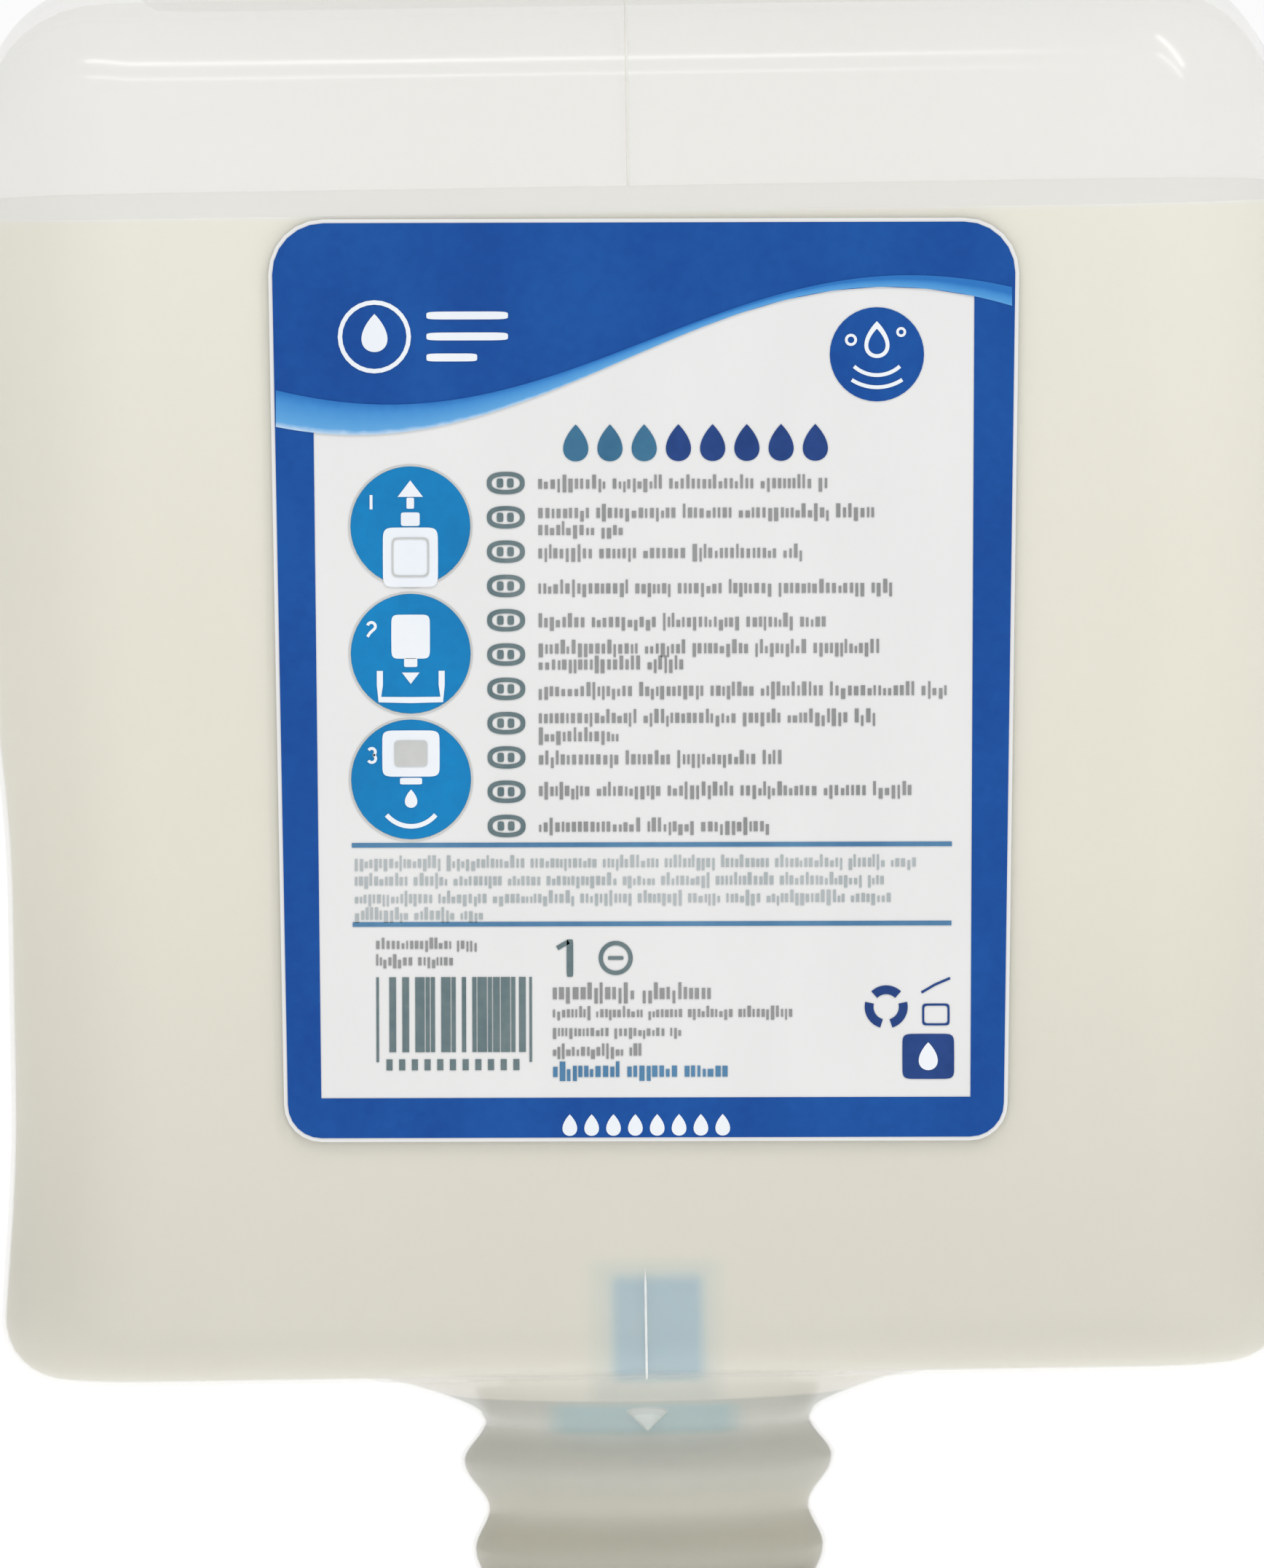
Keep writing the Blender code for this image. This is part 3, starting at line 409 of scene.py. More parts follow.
STAINS = (
    (0.4, (0.31, 0.46, 0.45), (-4.8, 6.6, 2.2), (-1.45, 12.6, 1.4)),
    (0.97, (0.03, 0.32, 0.48), (-3.0, 5.1, 1.6), (1.0, 11.2, 1.8)),
    (0.85, (0.20, 0.53, 0.62), (-8.6, 8.0, 3.0), (-4.6, -1.9, 1.0)),
)


def soap_rings():
    """Round the pump from the tube's bore down to the mouth, then up the bottle to the level."""
    tube_top = INLET_HIGH.z + PUMP_GAP
    plate_top = SHOULDER_Z - PLATE_DROP
    inlet = INLET_HIGH.x + PUMP_GAP
    chamber = CHAMBER_RADIUS + PUMP_GAP
    tube = TUBE_RADIUS + PUMP_GAP
    bore = TUBE_BORE - PUMP_GAP
    around = (
        (bore, SHOULDER_Z + BORE_FLOOR),
        (bore, tube_top),
        (tube, tube_top),
        (tube, plate_top + PUMP_GAP),
        (inlet, plate_top + PUMP_GAP),
        (inlet, INLET_LOW.z - PUMP_GAP),
        (chamber, INLET_LOW.z - PUMP_GAP),
        (chamber, RIM_Z),
    )
    rings = [round_ring(radius, height) for radius, height in around]
    return rings + cavity_rings(SOAP_GAP, RIM_Z, SOAP_Z)


def combine(tree, how, *terms):
    """Sum (ADD) or product (MULTIPLY) of several sockets or numbers, as how says."""
    result = terms[0]
    for term in terms[1:]:
        result = add_node(tree, "Math", {"operation": how}, i0=result, i1=term).outputs[0]
    return result


def soft_window(tree, value, low, high, edge):
    """1 between low and high and 0 outside, with eased edges of the given width."""
    rise = spread(tree, value, 0.0, 1.0, low - edge / 2, low + edge / 2, "SMOOTHSTEP")
    fall = spread(tree, value, 1.0, 0.0, high - edge / 2, high + edge / 2, "SMOOTHSTEP")
    return combine(tree, "MULTIPLY", rise, fall)


def blend_colour(tree, factor, first, second):
    """Mix two colours, given as values or sockets."""
    node = add_node(tree, "Mix", {"data_type": "RGBA"})
    tree.links.new(factor, node.inputs[0])
    for socket, value in ((node.inputs[6], first), (node.inputs[7], second)):
        if hasattr(value, "links"):
            tree.links.new(value, socket)
        else:
            socket.default_value = (*value, 1.0)
    return node.outputs[2]


def soap_material():
    """Cloudy soap: frothy on top, with painted shade that darkens it downwards and in the neck, and
    stained blue in front of the pump's inlet.

    A stain has a strength, a colour, and windows (from, to, soft edge) in mm across the bottle
    and up from the shoulder: the veil round the inlet's tube, the tube, and the inlet's plate.
    """
    material, tree, output = new_tree("cloudy pale yellow soap")
    place = add_node(tree, "TexCoord").outputs["Object"]
    axes = add_node(tree, "SeparateXYZ", Vector=place)
    across, height = axes.outputs["X"], axes.outputs["Z"]
    # Painted shade by height: this ramp darkens the soap downwards, with a lighter band at its
    # floor.
    level = spread(tree, height, 0.0, 1.0, SHOULDER_Z - 1.5 * MM, SOAP_Z)
    colour = ramp(tree, level, SOAP_TONE_AND_SHADE)
    # Painted shade in the neck: a darker, banded ramp from the rim up to the shoulder.
    neck_tone_and_shade = ramp(tree, spread(tree, height, 0.0, 1.0, RIM_Z, SHOULDER_Z), NECK_TONE_AND_SHADE)
    neck = soft_window(tree, height, 0.0, SHOULDER_Z - 1.45 * MM, 0.3 * MM)
    colour = blend_colour(tree, neck, colour, neck_tone_and_shade)
    haze = spread(tree, mottle(tree, 30.0, 3.0), 0.0, 0.12)
    colour = blend_colour(tree, haze, colour, SOAP_HAZE)
    drift = spread(tree, mottle(tree, 260.0, 2.0), 0.82, 1.0)
    for strength, stain, (left, right, side_edge), (low, high, edge) in STAINS:
        low, high = SHOULDER_Z + low * MM, SHOULDER_Z + high * MM
        sideways = soft_window(tree, across, left * MM, right * MM, side_edge * MM)
        upright = soft_window(tree, height, low, high, edge * MM)
        share = combine(tree, "MULTIPLY", sideways, upright, drift, strength)
        colour = blend_colour(tree, share, colour, stain)
    wet = gloss(tree, colour, 0.35, **{"IOR": 1.34, "Specular IOR Level": 0.2})
    tree.links.new(wet, output.inputs["Surface"])
    return material


soap = put_surface("soap_body", soap_rings(), soap_material(), angle=50)
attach(soap, "pack")
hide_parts("soap_fill")

# Mould seam: the fine ridge that the two halves of the blow mould leave all round the bottle, in
# the plane through its neck. It is flattened away under the label.
SEAM_WIDTH = 0.22 * MM
SEAM_PROUD = 0.05 * MM
SEAM_LOW_END = 13 * MM
LABEL_UP = 65.1 * MM
LABEL_HEIGHT = 83.3 * MM


def seam_path():
    """(y, z) of the bottle's outline at x = 0, from the base's front edge down to the shoulder."""
    angle = np.linspace(math.pi / 2, 0.0, 24)
    top = np.stack([
        FRONT_Y + BASE_RADIUS - BASE_RADIUS * np.cos(angle),
        BASE_Z - BASE_RADIUS + BASE_RADIUS * np.sin(angle),
    ], axis=-1)
    side = np.linspace(BASE_Z - BASE_RADIUS, FLOOR_Z + SHOULDER_RADIUS, 80)
    side = np.stack([np.full_like(side, FRONT_Y), side], axis=-1)
    turn = np.linspace(0.0, math.pi / 2, 16)
    shoulder = np.stack([
        FRONT_Y + SHOULDER_RADIUS - SHOULDER_RADIUS * np.cos(turn),
        FLOOR_Z + SHOULDER_RADIUS - SHOULDER_RADIUS * np.sin(turn),
    ], axis=-1)
    return top, side, shoulder


def ridge(path, width, proud):
    """Half-round ridge carried along a path in the plane x = 0.

    A point is path + outward normal * (proud cos a - sink) + x * width / 2 sin a, for a from -90
    to 90 degrees, and the ridge tapers to nothing over its last fiftieth at each end.
    """
    along = np.gradient(path, axis=0)
    along /= np.linalg.norm(along, axis=1)[:, None]
    outward = np.stack([along[:, 1], -along[:, 0]], axis=-1)
    share = np.linspace(0.0, 1.0, len(path))
    taper = np.clip(np.minimum(share, 1 - share) * 25, 0.05, 1.0)[:, None]
    angle = np.linspace(-math.pi, math.pi, 13)[:-1][None, :]
    rise = np.cos(angle)
    lift = np.where(np.abs(angle) <= math.pi / 2, rise, rise * 0.4) * proud * taper
    across = np.sin(angle) * width / 2 * taper
    y = path[:, 0:1] + outward[:, 0:1] * lift
    z = path[:, 1:2] + outward[:, 1:2] * lift
    return np.stack([across, y, z], axis=-1)


def seam_material(name, colour, pale):
    """The wall's own plastic, thicker here and so more opaque, with small breaks in its gloss."""
    material, tree, output = new_tree(name)
    grain = mottle(tree, 700.0, 3.0)
    tone = ramp(tree, grain, ((0.3, colour), (0.7, pale)))
    bump = relief(tree, grain, 0.02 * MM, 0.4)
    thick = gloss(tree, tone, spread(tree, grain, 0.2, 0.4), Normal=bump)
    tree.links.new(thick, output.inputs["Surface"])
    return material


top, side, shoulder = seam_path()
label_z = SHOULDER_Z + LABEL_UP
above = side[side[:, 1] > label_z + LABEL_HEIGHT / 2 + MM]
below = side[side[:, 1] < SHOULDER_Z + SEAM_LOW_END]
seam_plastic = seam_material("seam of the wall", (0.71, 0.70, 0.65), (0.74, 0.73, 0.68))
# The seam's foot, in front of the blue inlet, is paler, bluish plastic: a painted highlight for the
# light line the seam catches there.
seam_painted_highlight = seam_material("foot of the seam with painted highlight", (0.70, 0.72, 0.71), (0.76, 0.78, 0.77))
stretches = (
    ("mould_seam_front_top", np.concatenate([top, above[1:]]), 1, seam_plastic),
    ("mould_seam_front_low", np.concatenate([below, shoulder[1:]]), 1, seam_painted_highlight),
    ("mould_seam_back", np.concatenate([top, side[1:], shoulder[1:]]), -1, seam_plastic),
)
for name, path, facing, plastic in stretches:
    rings = ridge(path, SEAM_WIDTH, SEAM_PROUD)
    rings[..., 1] *= facing
    piece = put_surface(name, rings, plastic, angle=80)
    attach(piece, "pack")

# Neck lug: a V-shaped wedge moulded on the front of the neck, under the pedestal. It shows which
# way round the pack goes into its dispenser.
LUG_TOP = -1.6 * MM
LUG_LENGTH = 4.4 * MM
LUG_HALF_WIDTH = 3.0 * MM
LUG_PROUD = 1.7 * MM
LUG_SUNK = 0.6 * MM
LUG_RADIUS = 16.2 * MM


def wedge(count=24, turns=20):
    """V wedge in level slices: half width and rise fall from the top to a point at the bottom.

    A slice is an ellipse of (half width * share, proud * share^0.7) about the neck's front.
    """
    share = np.linspace(1.0, 0.02, count)[:, None]
    angle = np.linspace(0, 2 * math.pi, turns, endpoint=False)[None, :]
    x = LUG_HALF_WIDTH * share * np.cos(angle)
    y = -LUG_RADIUS + LUG_SUNK + LUG_PROUD * share ** 0.7 * np.sin(angle)
    z = SHOULDER_Z + LUG_TOP - (LUG_LENGTH + LUG_TOP) * (1 - share) + 0 * angle
    return np.stack([x, y, z], axis=-1)


lug_plastic = seam_material("wall at the lug", (0.52, 0.58, 0.57), (0.60, 0.65, 0.63))
lug = put_surface("neck_lug", wedge(), lug_plastic, angle=60)
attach(lug, "pack")

# Retaining collar: a ring of pale polypropylene, injection moulded. Its lip snaps over the neck's
# bead and clamps the pump's flange, and the spigot under it carries the cap.
FIT_GAP = 0.3 * MM
RUNNING_GAP = 0.25 * MM
COLLAR_END = 1.4 * MM
COLLAR_LIP = 0.7 * MM
EDGE_CHAMFER = 0.8 * MM
EDGE_RADIUS = 0.25 * MM
SPIGOT_WALL = 1.4 * MM
SPIGOT_LEAD = (0.3 * MM, 0.6 * MM)
CAP_WALL = 1.5 * MM
CAP_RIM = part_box("transit_cap")[1].z
STEM_RADIUS = 3.6 * MM
COLLAR_Z = CAP_RIM + FIT_GAP
COLLAR_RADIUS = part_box("retaining_collar")[1].x
COLLAR_BORE = COLLAR_RADIUS - 1.6 * MM
COLLAR_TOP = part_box("retaining_collar")[1].z
SPIGOT_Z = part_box("retaining_collar")[0].z
SPIGOT_RADIUS = COLLAR_RADIUS - CAP_WALL - FIT_GAP
LIP_Z = RIM_Z + BEAD_ABOVE_RIM + BEAD_WIDTH + FIT_GAP
FLANGE_Z = COLLAR_Z + COLLAR_END
TURNS = 144


def soften(profile, radius, closed):
    """Round each corner of a profile: a quadratic curve from r before the corner to r after it."""
    points = np.asarray(profile, dtype=float)
    count = len(points)
    rounded = []
    for index in range(count):
        corner = points[index]
        before, after = points[index - 1], points[(index + 1) % count]
        if not closed and index in (0, count - 1):
            rounded.append(corner[None, :])
            continue
        back, ahead = before - corner, after - corner
        back_length, ahead_length = np.linalg.norm(back), np.linalg.norm(ahead)
        reach = min(radius, 0.4 * back_length, 0.4 * ahead_length)
        start = corner + back / back_length * reach
        end = corner + ahead / ahead_length * reach
        t = np.linspace(0.0, 1.0, 4)[:, None]
        rounded.append((1 - t) ** 2 * start + 2 * t * (1 - t) * corner + t ** 2 * end)
    return np.concatenate(rounded)


def spin_rings(profile):
    """Rings r cos a, r sin a, z of a profile turned about the upright axis."""
    angle = np.linspace(0, 2 * math.pi, TURNS, endpoint=False)[None, :]
    radius, height = profile[:, 0:1], profile[:, 1:2]
    return np.stack([radius * np.cos(angle), radius * np.sin(angle), height + 0 * angle], axis=-1)


def put_hoop(name, profile, material, angle=40):
    """A closed profile turned about the axis: a grid of quads that meets itself both ways."""
    rings = spin_rings(profile)
    count, around, _ = rings.shape
    row = np.arange(count)[:, None]
    turn = np.arange(around)[None, :]
    after_row, after = (row + 1) % count, (turn + 1) % around
    corners = [row * around + turn, row * around + after, after_row * around + after]
    corners.append(after_row * around + turn)
    quads = np.stack(corners, axis=-1).reshape(-1, 4)
    piece = put_mesh(name, rings, quads.tolist(), material, angle)
    face_outwards(piece)
    return piece


def moulded_plastic(name, low, high, rough, coarse=120.0):
    """Moulded plastic: clouded colour, gloss that comes and goes, and a fine spark-eroded skin."""
    material, tree, output = new_tree(name)
    cloud = mottle(tree, coarse, 4.0)
    grain = mottle(tree, 1400.0, 2.0)
    colour = ramp(tree, cloud, ((0.3, low), (0.7, high)))
    shine = spread(tree, cloud, rough - 0.06, rough + 0.08)
    bump = relief(tree, grain, 0.02 * MM, 0.5)
    tree.links.new(gloss(tree, colour, shine, Normal=bump, IOR=1.49), output.inputs["Surface"])
    return material


pale_plastic = moulded_plastic("pale pump plastic", (0.76, 0.76, 0.735), (0.82, 0.82, 0.80), 0.36)
collar_profile = (
    (STEM_RADIUS + RUNNING_GAP, COLLAR_Z),
    (SPIGOT_RADIUS - SPIGOT_WALL, COLLAR_Z),
    (SPIGOT_RADIUS - SPIGOT_WALL, SPIGOT_Z),
    (SPIGOT_RADIUS - SPIGOT_LEAD[0], SPIGOT_Z),
    (SPIGOT_RADIUS, SPIGOT_Z + SPIGOT_LEAD[1]),
    (SPIGOT_RADIUS, COLLAR_Z),
    (COLLAR_RADIUS, COLLAR_Z),
    (COLLAR_RADIUS, COLLAR_TOP - EDGE_CHAMFER),
    (COLLAR_RADIUS - EDGE_CHAMFER, COLLAR_TOP),
    (COLLAR_BORE, COLLAR_TOP),
    (COLLAR_BORE - COLLAR_LIP, LIP_Z + COLLAR_LIP),
    (COLLAR_BORE - COLLAR_LIP, LIP_Z),
    (COLLAR_BORE, LIP_Z),
    (COLLAR_BORE, FLANGE_Z),
    (STEM_RADIUS + RUNNING_GAP, FLANGE_Z),
)
collar = put_hoop("collar_ring", soften(collar_profile, EDGE_RADIUS, True), pale_plastic)
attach(collar, "pack")
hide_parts("retaining_collar")

# Piston: one hollow moulding of nozzle, push disc, stem and lips. It slides up into the pump's
# chamber to give a dose, and the dispenser's push plate grips its disc.
STEM_BORE = 1.8 * MM
CHAMBER_BORE = 7.0 * MM
NOZZLE_TIP_RADIUS = 3.4 * MM
NOZZLE_RADIUS = 4.0 * MM
NOZZLE_LENGTH = 2.2 * MM
DISC_RADIUS = 7.5 * MM
DISC_THICKNESS = 1.4 * MM
DISC_CHAMFER = 0.3 * MM
GUIDE_LENGTH = 1.5 * MM
PISTON_WAIST = 5.0 * MM
PISTON_EDGE_RADIUS = 0.18 * MM
LIP_LENGTH = 2.2 * MM
LIP_THICKNESS = 0.8 * MM
DISH_RADIUS = 4.2 * MM
POCKET_RADIUS = 2.7 * MM
POCKET_DEPTH = 3.2 * MM
NOZZLE_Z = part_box("piston")[0].z
PISTON_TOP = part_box("piston")[1].z

slide = CHAMBER_BORE - RUNNING_GAP
disc_z = NOZZLE_Z + NOZZLE_LENGTH
disc_top = disc_z + DISC_THICKNESS
guide_z = FLANGE_Z + FIT_GAP
lip_low = PISTON_TOP - LIP_LENGTH
piston_profile = (
    (NOZZLE_TIP_RADIUS, NOZZLE_Z),
    (NOZZLE_RADIUS, disc_z),
    (DISC_RADIUS - DISC_CHAMFER, disc_z),
    (DISC_RADIUS, disc_z + DISC_CHAMFER),
    (DISC_RADIUS, disc_top - DISC_CHAMFER),
    (DISC_RADIUS - DISC_CHAMFER, disc_top),
    (STEM_RADIUS, disc_top),
    (STEM_RADIUS, guide_z),
    (slide, guide_z),
    (slide, guide_z + GUIDE_LENGTH),
    (PISTON_WAIST, guide_z + GUIDE_LENGTH),
    (PISTON_WAIST, lip_low),
    (slide, lip_low),
    (slide, PISTON_TOP),
    (slide - LIP_THICKNESS, PISTON_TOP),
    (DISH_RADIUS, PISTON_TOP - LIP_THICKNESS),
    (STEM_BORE, PISTON_TOP - LIP_THICKNESS),
    (STEM_BORE, NOZZLE_Z + POCKET_DEPTH),
    (POCKET_RADIUS, NOZZLE_Z + POCKET_DEPTH),
    (POCKET_RADIUS, NOZZLE_Z),
)
piston = put_hoop("piston_body", soften(piston_profile, PISTON_EDGE_RADIUS, True), pale_plastic)
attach(piston, "pump_piston")
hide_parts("piston")

# Transit cap: a thin cup of pale polyethylene, injection moulded through its middle. It grips the
# collar's spigot over the nozzle, and is pulled off when the pack goes into its dispenser.
CAP_FLOOR = 1.4 * MM
CAP_EDGE_RADIUS = 0.3 * MM
CAP_BORE = COLLAR_RADIUS - CAP_WALL
GATE_RADIUS = 0.5 * MM

cap_plastic = moulded_plastic("cap plastic", (0.72, 0.735, 0.745), (0.79, 0.80, 0.805), 0.33)
cap_profile = (
    (GATE_RADIUS, 0.0),
    (COLLAR_RADIUS - EDGE_CHAMFER, 0.0),
    (COLLAR_RADIUS, EDGE_CHAMFER),
    (COLLAR_RADIUS, CAP_RIM),
    (CAP_BORE, CAP_RIM),
    (CAP_BORE, CAP_FLOOR),
    (GATE_RADIUS, CAP_FLOOR),
)
cap_rings = spin_rings(soften(cap_profile, CAP_EDGE_RADIUS, False))
cap = put_surface("cap_cup", cap_rings, cap_plastic, 40)
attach(cap, "cap")
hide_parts("transit_cap")

# Pump inside the neck: the blue inlet fitting, its umbrella valve, the chamber, the neck's gasket
# and the nozzle's duckbill valve. They are plastic and rubber mouldings of plain turned forms.
blue_plastic = moulded_plastic("blue pump plastic", (0.11, 0.29, 0.60), (0.15, 0.35, 0.66), 0.38)
rubber = moulded_plastic("valve rubber", (0.66, 0.66, 0.63), (0.74, 0.74, 0.71), 0.6, 200.0)


def dress_node(node, material):
    """Give a frame shape its finish; the shape itself stays as it is."""
    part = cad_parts[node]
    part.data.materials.clear()
    part.data.materials.append(material)


for node, material, slot_name in (
    ("inlet_fitting", blue_plastic, "blue_pump_plastic"),
    ("inlet_valve", rubber, "valve_rubber"),
    ("pump_chamber", pale_plastic, "pale_pump_plastic"),
    ("neck_gasket", rubber, "valve_rubber"),
    ("outlet_valve", rubber, "valve_rubber"),
):
    dress_node(node, material)

# Label: a self-adhesive film with rounded corners, printed in blues and greys. It is stuck on the
# flat front, a little askew. Its ink lies on the film in coats that overlap.
LABEL_ACROSS = 0.8 * MM
LABEL_TURN = math.radians(0.75)
FILM_Y = FRONT_Y - 0.16 * MM
COAT = 0.05 * MM
COAT_GAP = 0.01 * MM
PRINT_UNIT = 0.9955 * MM


def label_world(flat, y):
    """Label points (across, up), turned by the label's lean and set on its place at depth y."""
    flat = np.asarray(flat, dtype=float) * PRINT_UNIT
    turn, lean = math.cos(LABEL_TURN), math.sin(LABEL_TURN)
    x = LABEL_ACROSS + flat[..., 0] * turn + flat[..., 1] * lean
    z = SHOULDER_Z + LABEL_UP - flat[..., 0] * lean + flat[..., 1] * turn
    return np.stack([x, np.full_like(x, y), z], axis=-1)


def coat_depths(layer):
    """Near and far y of a coat of ink, counted outwards from the film."""
    back = FILM_Y - COAT_GAP - (layer - 1) * (COAT + COAT_GAP)
    return back - COAT, back


def press_ink(tree, output, tone, grain, rough):
    """Lay a tone on as printed ink: a satin gloss with fine marks from the press."""
    bump = relief(tree, grain, 0.006 * MM, 0.4)
    inked = gloss(tree, tone, rough, **{"Normal": bump, "Specular IOR Level": 0.2})
    tree.links.new(inked, output.inputs["Surface"])


def ink_material(name, colour, pale, speck=0.35, rough=0.42):
    """Printed film: small specks and streaks in the ink, and a satin gloss."""
    material, tree, output = new_tree(name)
    grain = mottle(tree, 1100.0, 3.0)
    patch = mottle(tree, 120.0, 3.0, (1.0, 1.0, 0.4))
    share = combine(tree, "ADD", combine(tree, "MULTIPLY", grain, speck), patch)
    tone = ramp(tree, share, ((0.45, colour), (0.95, pale)))
    press_ink(tree, output, tone, grain, spread(tree, patch, rough - 0.06, rough + 0.08))
    return material


film = ink_material("label film", (0.735, 0.735, 0.73), (0.765, 0.765, 0.76), 0.2, 0.38)
dark_blue = ink_material("dark blue ink", (0.001, 0.052, 0.27), (0.004, 0.078, 0.33), 0.5)
mid_blue = ink_material("mid blue ink", (0.001, 0.16, 0.40), (0.001, 0.21, 0.50), 0.5)
rule_blue = ink_material("rule blue ink", (0.06, 0.17, 0.32), (0.10, 0.24, 0.40))
text_grey = ink_material("text grey ink", (0.22, 0.23, 0.23), (0.28, 0.29, 0.285), 0.6)
faint_grey = ink_material("faint grey ink", (0.34, 0.38, 0.39), (0.42, 0.455, 0.465), 0.6)
pale_rim = ink_material("pale rim ink", (0.48, 0.49, 0.48), (0.55, 0.56, 0.55), 0.6)
slate = ink_material("slate ink", (0.085, 0.14, 0.155), (0.15, 0.20, 0.21), 0.6)
navy = ink_material("navy ink", (0.008, 0.035, 0.16), (0.015, 0.055, 0.22), 0.5)
steel = ink_material("steel blue ink", (0.03, 0.12, 0.22), (0.05, 0.17, 0.29), 0.5)
white_ink = ink_material("white ink", (0.76, 0.80, 0.85), (0.82, 0.85, 0.88), 0.3)

for node, material, slot_name in (
    ("label_sheet", film, "label_film"),
    ("label_blue_field", dark_blue, "label_dark_blue"),
    ("label_disc_1", mid_blue, "label_mid_blue"),
    ("label_disc_2", mid_blue, "label_mid_blue"),
    ("label_disc_3", mid_blue, "label_mid_blue"),
    ("label_bubble_mark", dark_blue, "label_dark_blue"),
    ("label_emblem_ring", white_ink, "label_film"),
    ("label_rule_1", rule_blue, "label_rule_blue"),
    ("label_rule_2", rule_blue, "label_rule_blue"),
):
    dress_node(node, material)

# Wave band: a light blue swoosh of ink, printed across the top of the label between the dark
# blue field and the pale panel. It pales along its lower edge.
WAVE_LOW = (28.95, 6.65, -26.0, 48.0)
WAVE_HIGH = (30.85, 5.8, -23.0, 47.0)
WAVE_REACH = 33.35
WAVE_COLUMNS = 120
WAVE_ROWS = 10


def wave(edge, across):
    """Height of an edge: middle - swing cos(pi (across - start) / run)."""
    middle, swing, start, run = edge
    return middle - swing * np.cos(math.pi * (across - start) / run)


def wave_material():
    """Light blue that pales towards the band's lower edge and its left."""
    material, tree, output = new_tree("light blue ink")
    share = add_node(tree, "Attribute", {"attribute_name": "share"}).outputs["Fac"]
    grain = mottle(tree, 900.0, 3.0)
    shift = spread(tree, grain, -0.08, 0.08)
    axes = add_node(tree, "SeparateXYZ", Vector=add_node(tree, "TexCoord").outputs["Object"])
    side = spread(tree, axes.outputs["X"], 0.0, 0.35, -10 * MM, 30 * MM)
    stops = (
        (0.0, (0.46, 0.62, 0.78)),
        (0.16, (0.11, 0.35, 0.67)),
        (0.7, (0.055, 0.26, 0.60)),
        (1.0, (0.02, 0.16, 0.48)),
    )
    tone = ramp(tree, combine(tree, "ADD", share, shift, side), stops)
    press_ink(tree, output, tone, grain, spread(tree, grain, 0.38, 0.48))
    return material


def put_wave():
    """Grid of (across, share), a coat deep: up = low edge + share * (high edge - low edge)."""
    across = np.linspace(-WAVE_REACH, WAVE_REACH, WAVE_COLUMNS)[:, None]
    share = np.linspace(0.0, 1.0, WAVE_ROWS)[None, :]
    low, high = wave(WAVE_LOW, across), wave(WAVE_HIGH, across)
    flat = np.stack([across + 0 * share, low + (high - low) * share], axis=-1)
    near_y, far_y = coat_depths(2)
    near, far = label_world(flat, near_y), label_world(flat, far_y)
    index = np.arange(WAVE_COLUMNS * WAVE_ROWS).reshape(WAVE_COLUMNS, WAVE_ROWS)
    front = np.stack([index[:-1, :-1], index[1:, :-1], index[1:, 1:], index[:-1, 1:]], axis=-1)
    front = front.reshape(-1, 4)
    shift = WAVE_COLUMNS * WAVE_ROWS
    rim = np.concatenate([index[:, 0], index[-1, 1:], index[-2::-1, -1], index[0, -2:0:-1]])
    after = np.roll(rim, -1)
    side = np.stack([after, rim, rim + shift, after + shift], axis=-1)
    faces = np.concatenate([front, front[:, ::-1] + shift, side])
    points = np.concatenate([near.reshape(-1, 3), far.reshape(-1, 3)])
    piece = put_mesh("wave_band", points, faces.tolist(), wave_material(), 30)
    face_outwards(piece)
    shares = np.broadcast_to(share, (WAVE_COLUMNS, WAVE_ROWS)).reshape(-1)
    attribute = piece.data.attributes.new("share", "FLOAT", "POINT")
    attribute.data.foreach_set("value", np.concatenate([shares, shares]).astype(np.float32))
    return piece


band = put_wave()
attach(band, "pack")
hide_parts("label_wave_band")

# Text rows: several lines of small grey print, too small to read from a step away. Each line is
# a row of short upright strokes in word-like groups.
ROW_LEFT = -9.6
ROWS = (
    (17.9, 16.8), (15.25, 21.4), (13.7, -1.9), (11.6, 14.7), (8.4, 22.8), (5.35, 16.8),
    (2.95, 21.7), (1.5, 3.6), (-0.9, 27.6), (-3.35, 21.0), (-5.0, -2.3), (-7.1, 12.8),
    (-9.95, 24.6), (-13.2, 11.9),
)
FOOT_ROWS = (
    (70, -8.4, 6.0, -28.3, 1.5, 1.1),
    (71, -8.4, 14.0, -30.15, 1.0),
    (72, -8.4, 3.5, -31.85, 1.0),
    (73, -8.4, 0.0, -33.6, 1.1, 1.1),
    (74, -24.4, -15.0, -23.9, 1.0),
    (75, -24.4, -17.2, -25.4, 1.0),
)
FAINT_LEFT = -26.3
FAINT_ROWS = ((-16.5, 24.6), (-18.1, 21.7), (-19.7, 22.6), (-21.2, -14.4))


def word_blocks(seed, left, right, up, height, bold=1.0):
    """Strokes (left, low, right, high) of one line, with seeded random widths and gaps."""
    draw = np.random.default_rng(seed)
    count = int((right - left) / (height * 0.3)) + 4
    width = draw.uniform(0.15, 0.32, count) * height
    gap = draw.uniform(0.13, 0.21, count) * height
    ends = np.cumsum(draw.integers(7, 18, count))
    gap[ends[ends < count]] = 0.55 * height
    start = left + np.cumsum(width + gap) - (width + gap)
    keep = start + width < right
    start, width = start[keep], width[keep]
    tall = draw.choice([0.70, 0.66, 0.72, 0.5, 0.72, 1.0], len(start)) * height
    drop = draw.choice([0.0, 0.0, 0.0, 0.0, -0.26], len(start)) * height
    base = up - 0.42 * height
    return np.stack([start, base + drop, start + width * bold, base + tall], axis=-1)


